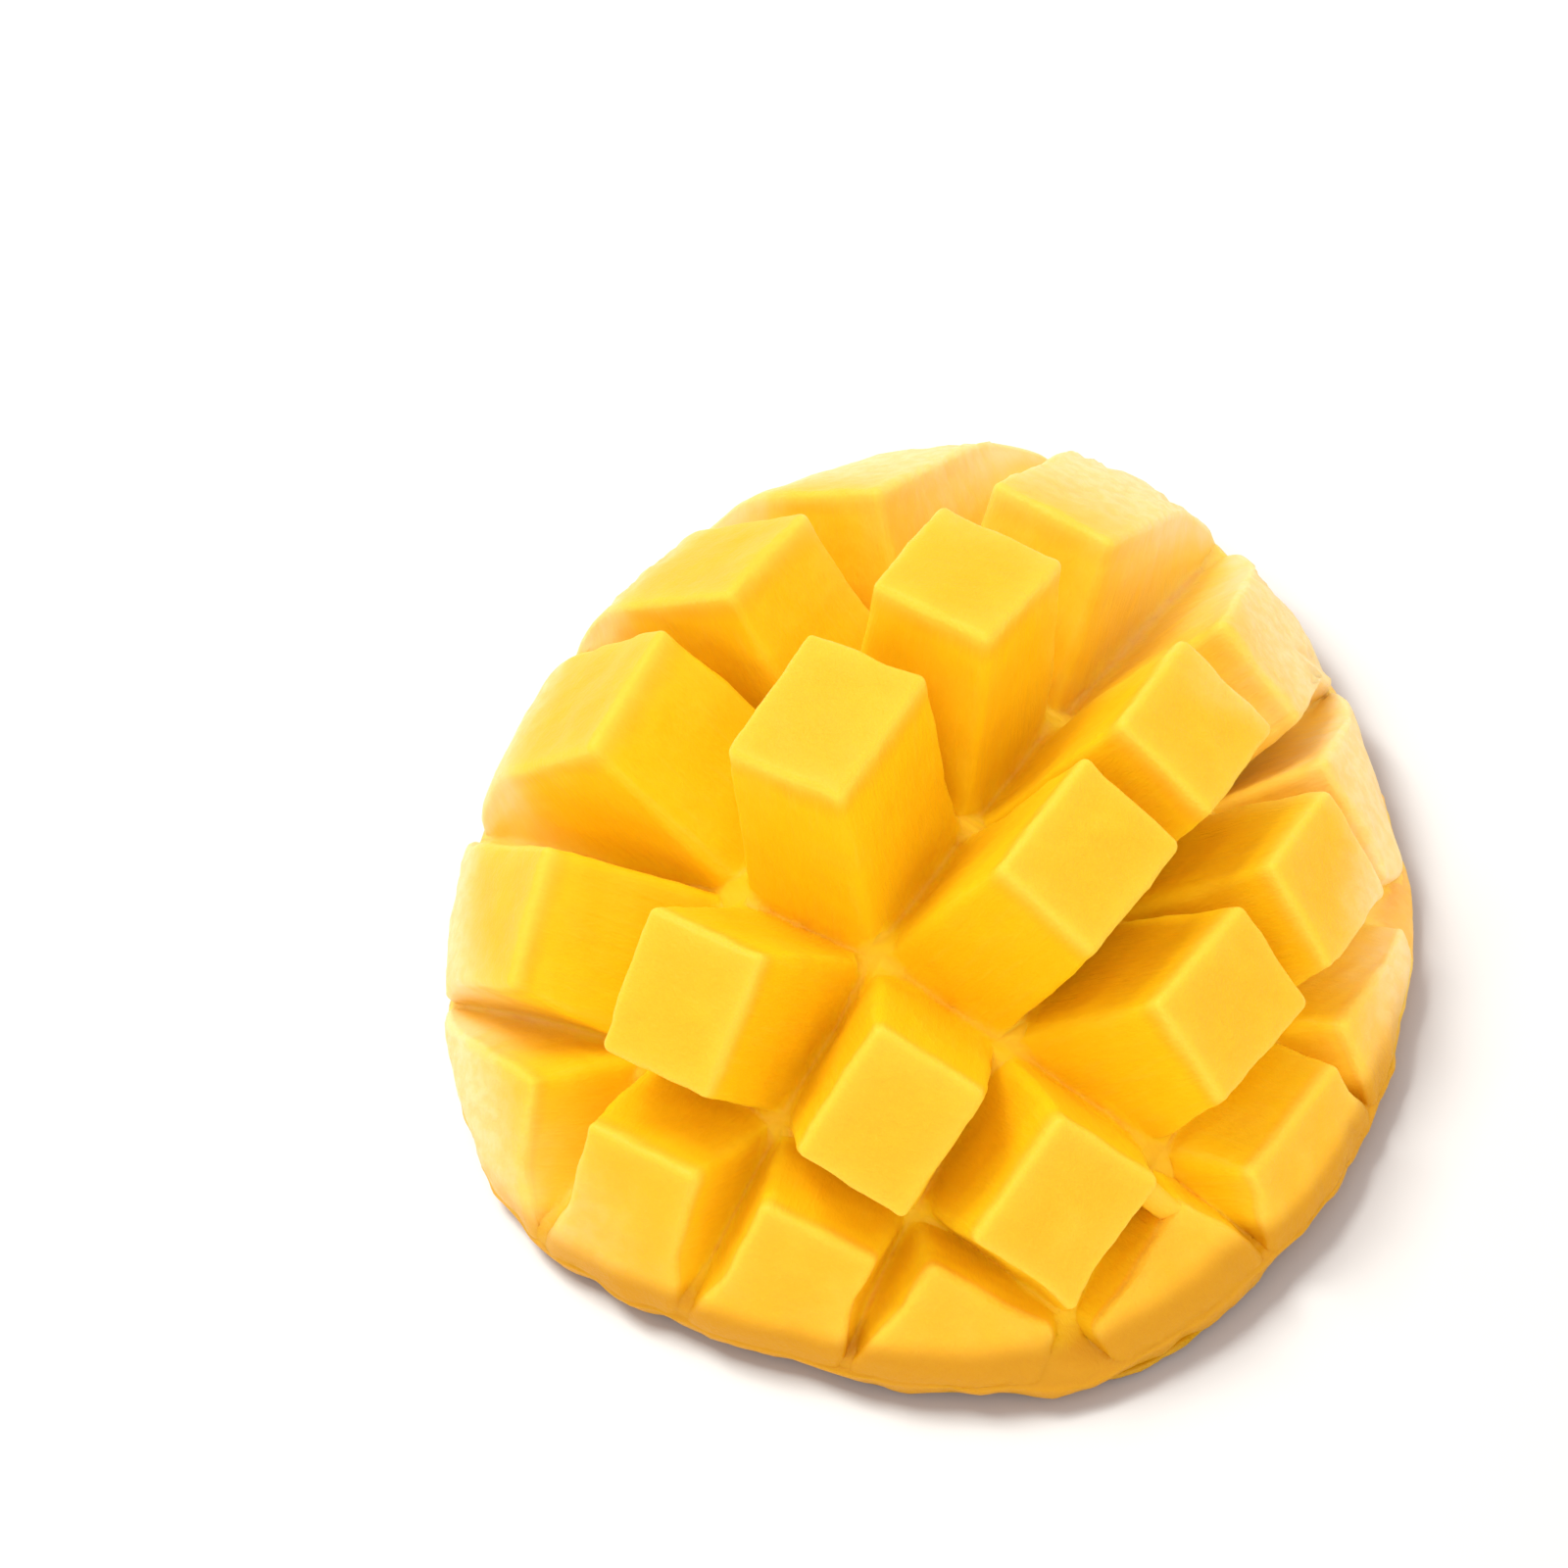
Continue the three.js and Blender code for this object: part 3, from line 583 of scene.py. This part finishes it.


# What the finishes need to know at every point of a piece in two skins: its place in the whole half, how
# far down a wall it is (for the painted light and shade down the walls), how near an eased edge (for the
# painted highlight), how near the rim, how much of the painted shade in gold it takes and how cream it is.
def layerMarks(p, q, top, bottom):
    pBoth, qBoth = np.concatenate([p.ravel(), p.ravel()]), np.concatenate([q.ravel(), q.ravel()])
    z = np.concatenate([top.ravel(), bottom.ravel()])
    return {
        "place": np.stack([pBoth, qBoth, z], -1) / 1000,
        "fall": np.ones(z.size), "edge": np.zeros(z.size), "rim": np.clip(ovalAt(pBoth, qBoth), 0, 1),
        # The whole underside takes the painted shade in gold.
        "gold": np.concatenate([lowRimShadeAt(p, q).ravel(), np.ones(p.size)]), "cream": creamAt(pBoth, qBoth),
    }


# The floor of the cuts, which is the top of the uncut layer.
def uncutTop(p, q):
    return -floorAt(p, q)


# The skin's outer side, with the lip.
def underside(p, q):
    return -depthAt(p, q) - underAt(p, q)


# The flesh makes room for the peel under it, up to where the peel ends on the inside of the lip.
def fleshUnder(p, q):
    share = smooth((sheetShape["peelReach"] - ovalAt(p, q)) / sheetShape["peelFade"])
    return underside(p, q) + sheetShape["peel"] * share


# The peel reaches a little into the flesh, so that nothing shows between them.
def peelTop(p, q):
    return underside(p, q) + sheetShape["peel"] + sheetShape["overlap"]


flesh = layerPiece("mango_flesh", 1.0, uncutTop, fleshUnder)
peel = layerPiece("mango_peel", sheetShape["peelReach"], peelTop, underside)
print("layers", len(flesh.data.polygons), len(peel.data.polygons))

blocks = bpy.data.collections.new("blocks")
bpy.context.scene.collection.children.link(blocks)
for i in range(pStrips):
    for j in range(qStrips):
        if blockAreas[i * qStrips + j] > blockShape["leastArea"]:
            block = blockPiece(i, j)
            bpy.context.scene.collection.objects.unlink(block)
            blocks.objects.link(block)


webShape = {
    "cut": 3, "row": 1, "many": 16, "halfWide": 3.4, "from": -4.8, "to": -0.45, "bow": 1.4,
    "top": -0.3, "bottom": -9.0, "sag": 0.45, "openDrop": 1.8, "backDrop": 0.7,
    "fall": 0.6, "edge": 0.5,
}


# Flesh left whole across one cut, near its crossing with another: a closed slab between the two
# blocks beside it, which share it by a smooth step. Its open end is bowed (1 - x²) and falls away as a
# cube, the middle sags (1 - x²), and the back dips only at its very end.
def webPiece():
    many = webShape["many"]
    x, y = np.meshgrid(np.linspace(-1, 1, many), np.linspace(0, 1, many), indexing="ij")
    u = pCuts[webShape["cut"]] + webShape["halfWide"] * x
    v = qCuts[webShape["row"]] + webShape["from"] + (webShape["to"] - webShape["from"]) * y
    p, q = faceOf(u, v + webShape["bow"] * (1 - y) * (1 - x * x))
    top = webShape["top"] - webShape["sag"] * (1 - x * x)
    top = top - webShape["openDrop"] * (1 - y) ** 3 - webShape["backDrop"] * y ** 8
    bottom = np.full(p.shape, webShape["bottom"])
    share = stripShares(pCuts, u)

    def between(z):
        place = np.stack([p, q, z], -1)
        moved = 0.0
        for i in (webShape["cut"], webShape["cut"] + 1):
            number = i * qStrips + webShape["row"]
            firm = np.einsum("ij,...j->...i", blockTurns[number], place) + blockSeats[number]
            moved = moved + firm * share[..., i, None]
        return (moved + pullAt(p, q)).reshape(-1, 3)

    numbers = np.arange(p.size).reshape(p.shape)
    ring = borderOf(numbers)
    sides = gridQuads(np.stack([ring, ring + p.size]))
    quads = np.concatenate([gridQuads(numbers), gridQuads(numbers + p.size)[:, ::-1], sides])
    marks = layerMarks(p, q, top, bottom)
    # The web's top takes part of the painted highlight, and its underside a colour from partway down the
    # painted light and shade of the walls.
    marks["fall"] = np.concatenate([np.zeros(p.size), np.full(p.size, webShape["fall"])])
    marks["edge"] = np.concatenate([np.full(p.size, webShape["edge"]), np.zeros(p.size)])
    marks["cream"] = np.zeros(2 * p.size)
    made = objectOf("web", np.concatenate([between(top), between(bottom)]), quads, marks)
    bpy.context.scene.collection.objects.unlink(made)
    return made


# The blocks joined to the uncut layer as one closed surface.
def joined(base, others):
    union = base.modifiers.new("join", "BOOLEAN")
    union.operation = "UNION"
    union.operand_type = "COLLECTION"
    union.collection = others
    union.solver = "MANIFOLD"
    result = bpy.data.meshes.new_from_object(base.evaluated_get(bpy.context.evaluated_depsgraph_get()))
    base.modifiers.remove(union)
    old = base.data
    base.data = result
    bpy.data.meshes.remove(old)
    for other in list(others.objects):
        shape = other.data
        bpy.data.objects.remove(other)
        bpy.data.meshes.remove(shape)
    bpy.data.collections.remove(others)


blocks.objects.link(webPiece())
joined(flesh, blocks)
print("joined", len(flesh.data.vertices), len(flesh.data.polygons))


# A mark's mean over the corners that meet at each point.
def markAt(piece, name, wide):
    mesh = piece.data
    corners = np.empty(len(mesh.loops), np.int32)
    mesh.loops.foreach_get("vertex_index", corners)
    values = np.empty(len(mesh.loops) * wide, np.float32)
    mesh.attributes[name].data.foreach_get("vector" if wide == 3 else "value", values)
    values = values.reshape(-1, wide).astype(float)
    many = len(mesh.vertices)
    count = np.maximum(np.bincount(corners, minlength=many), 1)
    return np.stack([np.bincount(corners, values[:, k], many) / count for k in range(wide)], -1)


# A piece's points as rows, in metres.
def pointsOf(piece):
    flat = np.empty(len(piece.data.vertices) * 3, np.float32)
    piece.data.vertices.foreach_get("co", flat)
    return flat.reshape(-1, 3).astype(float)


def setPoints(piece, points):
    piece.data.vertices.foreach_set("co", points.astype(np.float32).ravel())
    piece.data.update()


relief = {
    "grooveRounds": 30, "grooveShare": 0.6, "grooveFrom": 0.6, "clearFrom": 0.1, "clearWide": 0.8,
    "grooveEnd": 0.9, "grooveFade": 0.06, "markShare": 0.03,
    "seed": 11, "waves": 9, "slow": (5.0, 15.0), "slowHigh": 0.045, "fine": (1.8, 4.0), "fineHigh": 0.018,
    "rimFrom": 0.86, "rimMore": 1.3,
    "toothed": ((63, 90), (40, 62), (24, 35), (121, 143)), "toothEnds": 3.0, "toothClear": 0.5,
    "toothDeep": 0.9, "toothLong": 2.9, "toothFrom": 0.72, "toothFull": 0.84,
    "rimRadius": 62.0, "toothSway": 0.6, "swayOften": 0.9,
}


# Groove bottoms rounded off: each point moves part of the way to the mean of its neighbours, several times,
# and the more the nearer it is to the bottom. The underside and the rim stay as they are. The marks that
# colour the bottoms are evened out the same way, and a little everywhere.
def softenGrooves(piece):
    mesh = piece.data
    fall, rim = markAt(piece, "fall", 1)[:, 0], markAt(piece, "rim", 1)[:, 0]
    place = markAt(piece, "place", 3) * 1000
    above = depthAt(place[:, 0], place[:, 1]) + place[:, 2]
    start = relief["grooveFrom"]
    share = relief["grooveShare"] * smooth((fall - start) / (blockShape["footFall"] - start))
    share = share * smooth((above - relief["clearFrom"]) / relief["clearWide"])
    share = share * (1 - smooth((rim - relief["grooveEnd"]) / relief["grooveFade"]))
    ends = np.empty(len(mesh.edges) * 2, np.int32)
    mesh.edges.foreach_get("vertices", ends)
    a, b = ends.reshape(-1, 2).T
    many = len(mesh.vertices)
    count = np.maximum(np.bincount(a, minlength=many) + np.bincount(b, minlength=many), 1)[:, None]
    softened = ("fall", "cream", "edge")
    values = np.concatenate([pointsOf(piece)] + [markAt(piece, name, 1) for name in softened], 1)
    shares = [share] * 3 + [np.maximum(share, relief["markShare"])] * len(softened)
    share = np.stack(shares, -1)
    for _ in range(relief["grooveRounds"]):
        sums = [np.bincount(a, column[b], many) + np.bincount(b, column[a], many) for column in values.T]
        total = np.stack(sums, -1)
        values = values + share * (total / count - values)
    setPoints(piece, values[:, :3])
    for name, column in zip(softened, values.T[3:]):
        mesh.attributes.remove(mesh.attributes[name])
        mesh.attributes.new(name, "FLOAT", "POINT").data.foreach_set("value", column.astype(np.float32))


# Hand-cut unevenness: every point moves along its normal by sums of sines over its place in the half,
# slow ones and fine ones, each with a direction, a length and a start of its own, and higher towards the
# rim. Along parts of the rim the knife has left small teeth: a sawtooth of the way round, pressed inwards
# and clear of the cuts.
def roughen(piece):
    chance = np.random.default_rng(relief["seed"])
    place = markAt(piece, "place", 3) * 1000
    rim = markAt(piece, "rim", 1)[:, 0]
    height = np.zeros(len(place))
    for lengthOf, high in ((relief["slow"], relief["slowHigh"]), (relief["fine"], relief["fineHigh"])):
        ways = unit(chance.normal(size=(relief["waves"], 3)))
        lengths = chance.uniform(*lengthOf, relief["waves"])
        starts = chance.uniform(0, 2 * math.pi, relief["waves"])
        height = height + high * np.sin(place @ (ways / lengths[:, None] * 2 * math.pi).T + starts).sum(1)
    height = height * (1 + relief["rimMore"] * smooth((rim - relief["rimFrom"]) / (1 - relief["rimFrom"])))
    normals = np.empty(len(place) * 3, np.float32)
    piece.data.vertices.foreach_get("normal", normals)
    points = pointsOf(piece) * 1000
    x, y = points[:, 0], points[:, 1]
    way, far = np.degrees(np.arctan2(y, x)), np.hypot(x, y)
    ends = relief["toothEnds"]
    there = 0.0
    for first, last in relief["toothed"]:
        there = there + smooth((way - first) / ends) * smooth((last - way) / ends)
    arc = np.radians(way) * relief["rimRadius"] + relief["toothSway"] * np.sin(way * relief["swayOften"])
    along = np.mod(arc, relief["toothLong"]) / relief["toothLong"]
    u, v = gridOf(place[:, 0], place[:, 1])
    off = np.minimum(np.abs(u[:, None] - pCuts).min(1), np.abs(v[:, None] - qCuts).min(1))
    outside = smooth((rim - relief["toothFrom"]) / (relief["toothFull"] - relief["toothFrom"]))
    tooth = relief["toothDeep"] * there * along * smooth(off / relief["toothClear"] - 1) * outside
    points = points + normals.reshape(-1, 3) * height[:, None]
    points[:, 0] -= x / far * tooth
    points[:, 1] -= y / far * tooth
    setPoints(piece, points / 1000)


softenGrooves(flesh)
roughen(flesh)
print("relief")


# Both pieces go where the frame has the half: centred on its box, with the lowest rim pressed flat.
fleshPoints, peelPoints = pointsOf(flesh), pointsOf(peel)
low = np.minimum(fleshPoints.min(0), peelPoints.min(0))
high = np.maximum(fleshPoints.max(0), peelPoints.max(0))
cadLow, cadHigh = np.array(cadBox[0]), np.array(cadBox[1])
shift = (cadLow + cadHigh) / 2 - (low + high) / 2
shift[2] = cadLow[2] - low[2] - turned["footTrim"] / 1000
for piece, points in ((flesh, fleshPoints), (peel, peelPoints)):
    setPoints(piece, np.clip(points + shift, cadLow, cadHigh))
print("seated", np.round(shift * 1000, 3), "wide", np.round((high - low) * 1000, 2))

for piece in (flesh, peel):
    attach(piece, "root")
    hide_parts("mango_half")


# A socket of a shader node that can be written in sums: each operator adds its Math node, and within
# adds a smooth step from 0 at the low value to 1 at the high one.
class Wire:
    def __init__(self, maker, socket):
        self.maker = maker
        self.socket = socket

    def math(self, operation, first, second):
        return self.maker.node("ShaderNodeMath", {"operation": operation}, {0: first, 1: second})

    def __add__(self, other):
        return self.math("ADD", self, other)

    def __sub__(self, other):
        return self.math("SUBTRACT", self, other)

    def __rsub__(self, other):
        return self.math("SUBTRACT", other, self)

    def __mul__(self, other):
        return self.math("MULTIPLY", self, other)

    def within(self, low, high):
        return self.maker.node("ShaderNodeMapRange", {"interpolation_type": "SMOOTHSTEP"},
                               {"Value": self, "From Min": low, "From Max": high})

    __radd__ = __add__
    __rmul__ = __mul__


# A material's node tree, and the one way nodes are added to it.
class Finish:
    def __init__(self, name):
        self.material = bpy.data.materials.new(name)
        self.material.use_nodes = True
        self.tree = self.material.node_tree
        self.shader = self.tree.nodes["Principled BSDF"]

    def node(self, kind, settings=None, values=None, out=0):
        made = self.tree.nodes.new(kind)
        for name, value in (settings or {}).items():
            if name == "stops":
                ramp = made.color_ramp
                while len(ramp.elements) < len(value):
                    ramp.elements.new(0.5)
                for stop, (place, colour) in zip(ramp.elements, value):
                    stop.position, stop.color = place, (*colour, 1.0)
            else:
                setattr(made, name, value)
        for name, value in (values or {}).items():
            self.set(made.inputs[name], value)
        return Wire(self, made.outputs[out])

    def set(self, socket, value):
        if isinstance(value, Wire):
            self.tree.links.new(value.socket, socket)
        elif isinstance(value, tuple) and len(value) == 3 and socket.type == "RGBA":
            socket.default_value = (*value, 1.0)
        else:
            socket.default_value = value

    def mark(self, name, out="Fac"):
        return self.node("ShaderNodeAttribute", {"attribute_name": name}, out=out)

    def noise(self, where, scale, detail=2.0, stretch=(1.0, 1.0, 1.0)):
        scales = tuple(scale * x for x in stretch)
        moved = self.node("ShaderNodeMapping", {}, {"Vector": where, "Scale": scales})
        return self.node("ShaderNodeTexNoise", {},
                         {"Vector": moved, "Scale": 1.0, "Detail": detail, "Roughness": 0.55})

    def mix(self, share, first, second):
        return self.node("ShaderNodeMix", {"data_type": "RGBA"}, {0: share, 6: first, 7: second}, out=2)

    def ramp(self, value, *stops):
        return self.node("ShaderNodeValToRGB", {"stops": stops}, {"Fac": value})

    def finish(self, **values):
        for name, value in values.items():
            self.set(self.shader.inputs[name.replace("_", " ")], value)
        return self.material


# Scales count waves to the metre; the list of stops gives where each colour stands on the way down a wall.
# The top, wall, deep and floor colours paint light and shade: the top deeper, the walls paler to offset the
# shade they get, and a darker orange painted shade at the foot of the cuts. The edge colour is a painted
# highlight and the gold one a painted shade.
fleshLook = {
    "top": (0.97, 0.47, 0.009), "wall": (0.97, 0.58, 0.005), "deep": (0.97, 0.615, 0.005),
    "floor": (0.93, 0.39, 0.001), "pale": (0.97, 0.69, 0.30), "edge": (0.98, 0.64, 0.055),
    "dull": (0.95, 0.50, 0.02), "gold": (0.66, 0.29, 0.001),
    "down": ((0.0, "top"), (0.10, "wall"), (0.25, "wall"), (0.60, "deep"), (0.76, "deep"), (0.90, "floor")),
    "fibreScale": 1400.0, "mottleScale": 130.0, "fuzzScale": 520.0, "fineScale": 3200.0,
    "highlightShare": 0.75, "dullShare": 0.3, "fibreShare": 0.16, "paleLeast": 0.72, "wallLessPale": 0.6,
    "roughness": 0.5, "roughChange": 0.22, "bump": 0.0003, "bumpStrength": 0.7,
    "glow": 0.35, "depth": 0.0026, "spread": (1.0, 0.9, 0.25), "shine": 0.22,
    "wet": 0.04, "wetRoughness": 0.28,
}


# Ripe flesh: deep yellow on the cut face, a painted highlight along the eased edges, walls painted lighter
# to offset their shade, painted shade in orange where the cuts end, cream towards the skin and painted
# shade in gold at the low rim, with fibres that run down through the half.
def fleshFinish():
    look = Finish("mangoFlesh")
    place = look.mark("place", "Vector")
    fall, edge = look.mark("fall"), look.mark("edge")
    fibre = look.noise(place, fleshLook["fibreScale"], 2.0, (1.0, 1.0, 0.12))
    mottle = look.noise(place, fleshLook["mottleScale"], 2.0)
    # Painted light and shade down the walls: the top deeper, the walls paler to offset their shade, and a
    # darker orange painted shade at the foot of the cuts.
    stops = [(stop, fleshLook[name]) for stop, name in fleshLook["down"]]
    colour = look.ramp(fall + (mottle - 0.5) * 0.12, *stops)
    # A painted highlight along the eased edges.
    colour = look.mix(edge.within(0.0, 0.95) * fleshLook["highlightShare"], colour, fleshLook["edge"])
    patches = ((mottle - 0.5) * 1.6 + 0.25).within(0.2, 1.0)
    colour = look.mix(patches * fleshLook["dullShare"], colour, fleshLook["dull"])
    fuzz = look.noise(place, fleshLook["fuzzScale"], 2.0, (1.0, 1.0, 0.4))
    cream = (look.mark("cream") + (mottle - 0.5) * 0.25).within(0.0, 0.95)
    paleShare = cream * (1 - fall.within(0.0, 0.5) * fleshLook["wallLessPale"])
    least = fleshLook["paleLeast"]
    uneven = least + fuzz.within(0.35, 0.65) * (1 - least)
    colour = look.mix(paleShare * uneven, colour, fleshLook["pale"])
    # Fibres, drawn in the same light colour as the painted highlight.
    colour = look.mix((fibre - 0.5).within(0.0, 0.35) * fleshLook["fibreShare"], colour, fleshLook["edge"])
    # Painted shade: dark gold along the low rim and on the lip's underside.
    lowRimShade = (look.mark("gold") + (mottle - 0.5) * 0.15).within(0.0, 0.9)
    colour = look.mix(lowRimShade, colour, fleshLook["gold"])
    rough = fleshLook["roughness"] + (fibre - 0.5) * fleshLook["roughChange"]
    fine = look.noise(place, fleshLook["fineScale"], 2.0, (1.0, 1.0, 0.35))
    height = fibre * 0.6 + fine * 0.4 + mottle * 1.4 + fuzz * (0.4 + paleShare)
    bump = look.node("ShaderNodeBump", {}, {"Height": height, "Distance": fleshLook["bump"],
                                            "Strength": fleshLook["bumpStrength"]})
    return look.finish(Base_Color=colour, Roughness=rough, Normal=bump,
                       Subsurface_Weight=fleshLook["glow"], Subsurface_Radius=fleshLook["spread"],
                       Subsurface_Scale=fleshLook["depth"], Specular_IOR_Level=fleshLook["shine"],
                       Coat_Weight=fleshLook["wet"], Coat_Roughness=fleshLook["wetRoughness"])


peelLook = {
    "gold": (0.86, 0.42, 0.03), "orange": (0.80, 0.22, 0.02), "blush": (0.62, 0.05, 0.03),
    "along": ((0.30, "gold"), (0.52, "orange"), (0.78, "blush")), "blushSide": 4.0,
    "patchScale": 18.0, "grainScale": 260.0,
    "dot": (0.95, 0.62, 0.25), "dotScale": 520.0, "dotFrom": 0.10, "dotTo": 0.24, "dotShare": 0.45,
    "roughness": 0.32, "roughChange": 0.12, "bump": 0.0001, "bumpStrength": 0.5,
    "wax": 0.25, "waxRoughness": 0.2, "glow": 0.12, "spread": (1.0, 0.4, 0.15), "depth": 0.002,
}


# Smooth skin: golden, orange and blushed red in soft patches, with fine lighter dots.
def peelFinish():
    look = Finish("mangoPeel")
    place = look.node("ShaderNodeTexCoord", out="Object")
    patch = look.noise(place, peelLook["patchScale"], 2.0)
    grain = look.noise(place, peelLook["grainScale"], 3.0)
    side = look.node("ShaderNodeSeparateXYZ", {}, {"Vector": place})
    blush = patch * 1.1 + side * peelLook["blushSide"] + (grain - 0.5) * 0.12
    colour = look.ramp(blush, *[(stop, peelLook[name]) for stop, name in peelLook["along"]])
    dots = look.node("ShaderNodeTexVoronoi", {"feature": "F1"},
                     {"Vector": place, "Scale": peelLook["dotScale"]})
    dot = 1 - dots.within(peelLook["dotFrom"], peelLook["dotTo"])
    colour = look.mix(dot * peelLook["dotShare"], colour, peelLook["dot"])
    height = (1 - dots.within(0.1, 0.3)) * 0.4 + grain * 0.6
    bump = look.node("ShaderNodeBump", {}, {"Height": height, "Distance": peelLook["bump"],
                                            "Strength": peelLook["bumpStrength"]})
    return look.finish(Base_Color=colour, Roughness=peelLook["roughness"] + grain * peelLook["roughChange"],
                       Normal=bump, Coat_Weight=peelLook["wax"], Coat_Roughness=peelLook["waxRoughness"],
                       Subsurface_Weight=peelLook["glow"], Subsurface_Radius=peelLook["spread"],
                       Subsurface_Scale=peelLook["depth"])


flesh.data.materials.clear()
flesh.data.materials.append(fleshFinish())
peel.data.materials.append(peelFinish())
sharpFrom = 65             # degrees between two faces from which the edge between them stays sharp
for piece in (flesh, peel):
    piece.data.shade_smooth()
    piece.data.set_sharp_from_angle(angle=math.radians(sharpFrom))
print("finishes")


# The rendered picture is 1600 pixels wide. The scale is in pixels to a millimetre at the middle of the
# half, level with its rim, and the origin is where that middle stands in the picture, in pixels.
view = {
    "elevation": 58.65, "roll": -0.75, "distance": 610.1, "scale": 8.0,
    "originX": 931.8, "originY": 937.4, "width": 1600, "sensor": 36.0,
}


# The camera looks down at the half with its own level turned a little, and the lens is shifted so that
# the half stands off the picture's middle.
def lookDown():
    tilt = math.radians(view["elevation"])
    forward = np.array([0.0, math.cos(tilt), -math.sin(tilt)])
    camera = bpy.data.objects.new("camera", bpy.data.cameras.new("camera"))
    bpy.context.scene.collection.objects.link(camera)
    camera.location = shift - forward * view["distance"] / 1000
    level = Matrix.Rotation(math.radians(view["roll"]), 3, "Z")
    camera.rotation_euler = (Matrix.Rotation(math.pi / 2 - tilt, 3, "X") @ level).to_euler()
    camera.data.sensor_width = view["sensor"]
    camera.data.lens = view["sensor"] * view["scale"] * view["distance"] / view["width"]
    camera.data.shift_x = (view["width"] / 2 - view["originX"]) / view["width"]
    camera.data.shift_y = (view["originY"] - view["width"] / 2) / view["width"]
    camera.data.clip_start = 0.01
    bpy.context.scene.camera = camera
    print("camera", [round(x, 4) for x in camera.location])


lookDown()

floorLook = {"wide": 3, "colour": (0.47, 0.42, 0.40), "roughness": 0.7, "shine": 0.2}


# A square floor under the half, in plain pale paint.
def paleFloor():
    wide = floorLook["wide"]
    mesh = bpy.data.meshes.new("floor")
    corners = [(-wide, -wide, 0), (wide, -wide, 0), (wide, wide, 0), (-wide, wide, 0)]
    mesh.from_pydata(corners, [], [(0, 1, 2, 3)])
    made = bpy.data.objects.new("floor", mesh)
    bpy.context.scene.collection.objects.link(made)
    paint = Finish("paleFloor")
    mesh.materials.append(paint.finish(Base_Color=floorLook["colour"], Roughness=floorLook["roughness"],
                                       Specular_IOR_Level=floorLook["shine"]))
    return made


floor = paleFloor()
bpy.context.scene.view_settings.view_transform = "Standard"

# Places and sizes are in metres and powers in watts. The third light falls on the floor alone.
lightLook = {
    "key": {"place": (-0.30, 0.30, 0.75), "size": 0.32, "power": 2.6, "colour": (1.0, 0.98, 0.96)},
    "fill": {"place": (0.1, -0.75, 0.45), "size": 0.8, "power": 1.2, "colour": (1.0, 0.98, 0.96)},
    "table": {"place": (-0.36, 0.17, 0.64), "size": 0.30, "power": 9.6, "colour": (0.86, 1.0, 1.0)},
    "sky": (1.0, 1.0, 1.0, 1.0), "skyStrength": 1.05,
}


# A square light that faces the middle of the half.
def areaLight(name, place, size, power, colour):
    lamp = bpy.data.lights.new(name, "AREA")
    lamp.shape = "SQUARE"
    lamp.size = size
    lamp.energy = power
    lamp.color = colour
    made = bpy.data.objects.new(name, lamp)
    bpy.context.scene.collection.objects.link(made)
    made.location = place
    away = np.array(place) / np.linalg.norm(place)
    made.rotation_euler = (math.acos(away[2]), 0.0, math.atan2(away[1], away[0]) + math.pi / 2)
    return made


areaLight("key", **lightLook["key"])
areaLight("fill", **lightLook["fill"])
table = areaLight("table", **lightLook["table"])
lit = bpy.data.collections.new("table")
lit.objects.link(floor)
table.light_linking.receiver_collection = lit
world = bpy.data.worlds.new("studio")
bpy.context.scene.world = world
world.use_nodes = True
background = world.node_tree.nodes["Background"]
background.inputs["Color"].default_value = lightLook["sky"]
background.inputs["Strength"].default_value = lightLook["skyStrength"]
print("lights")
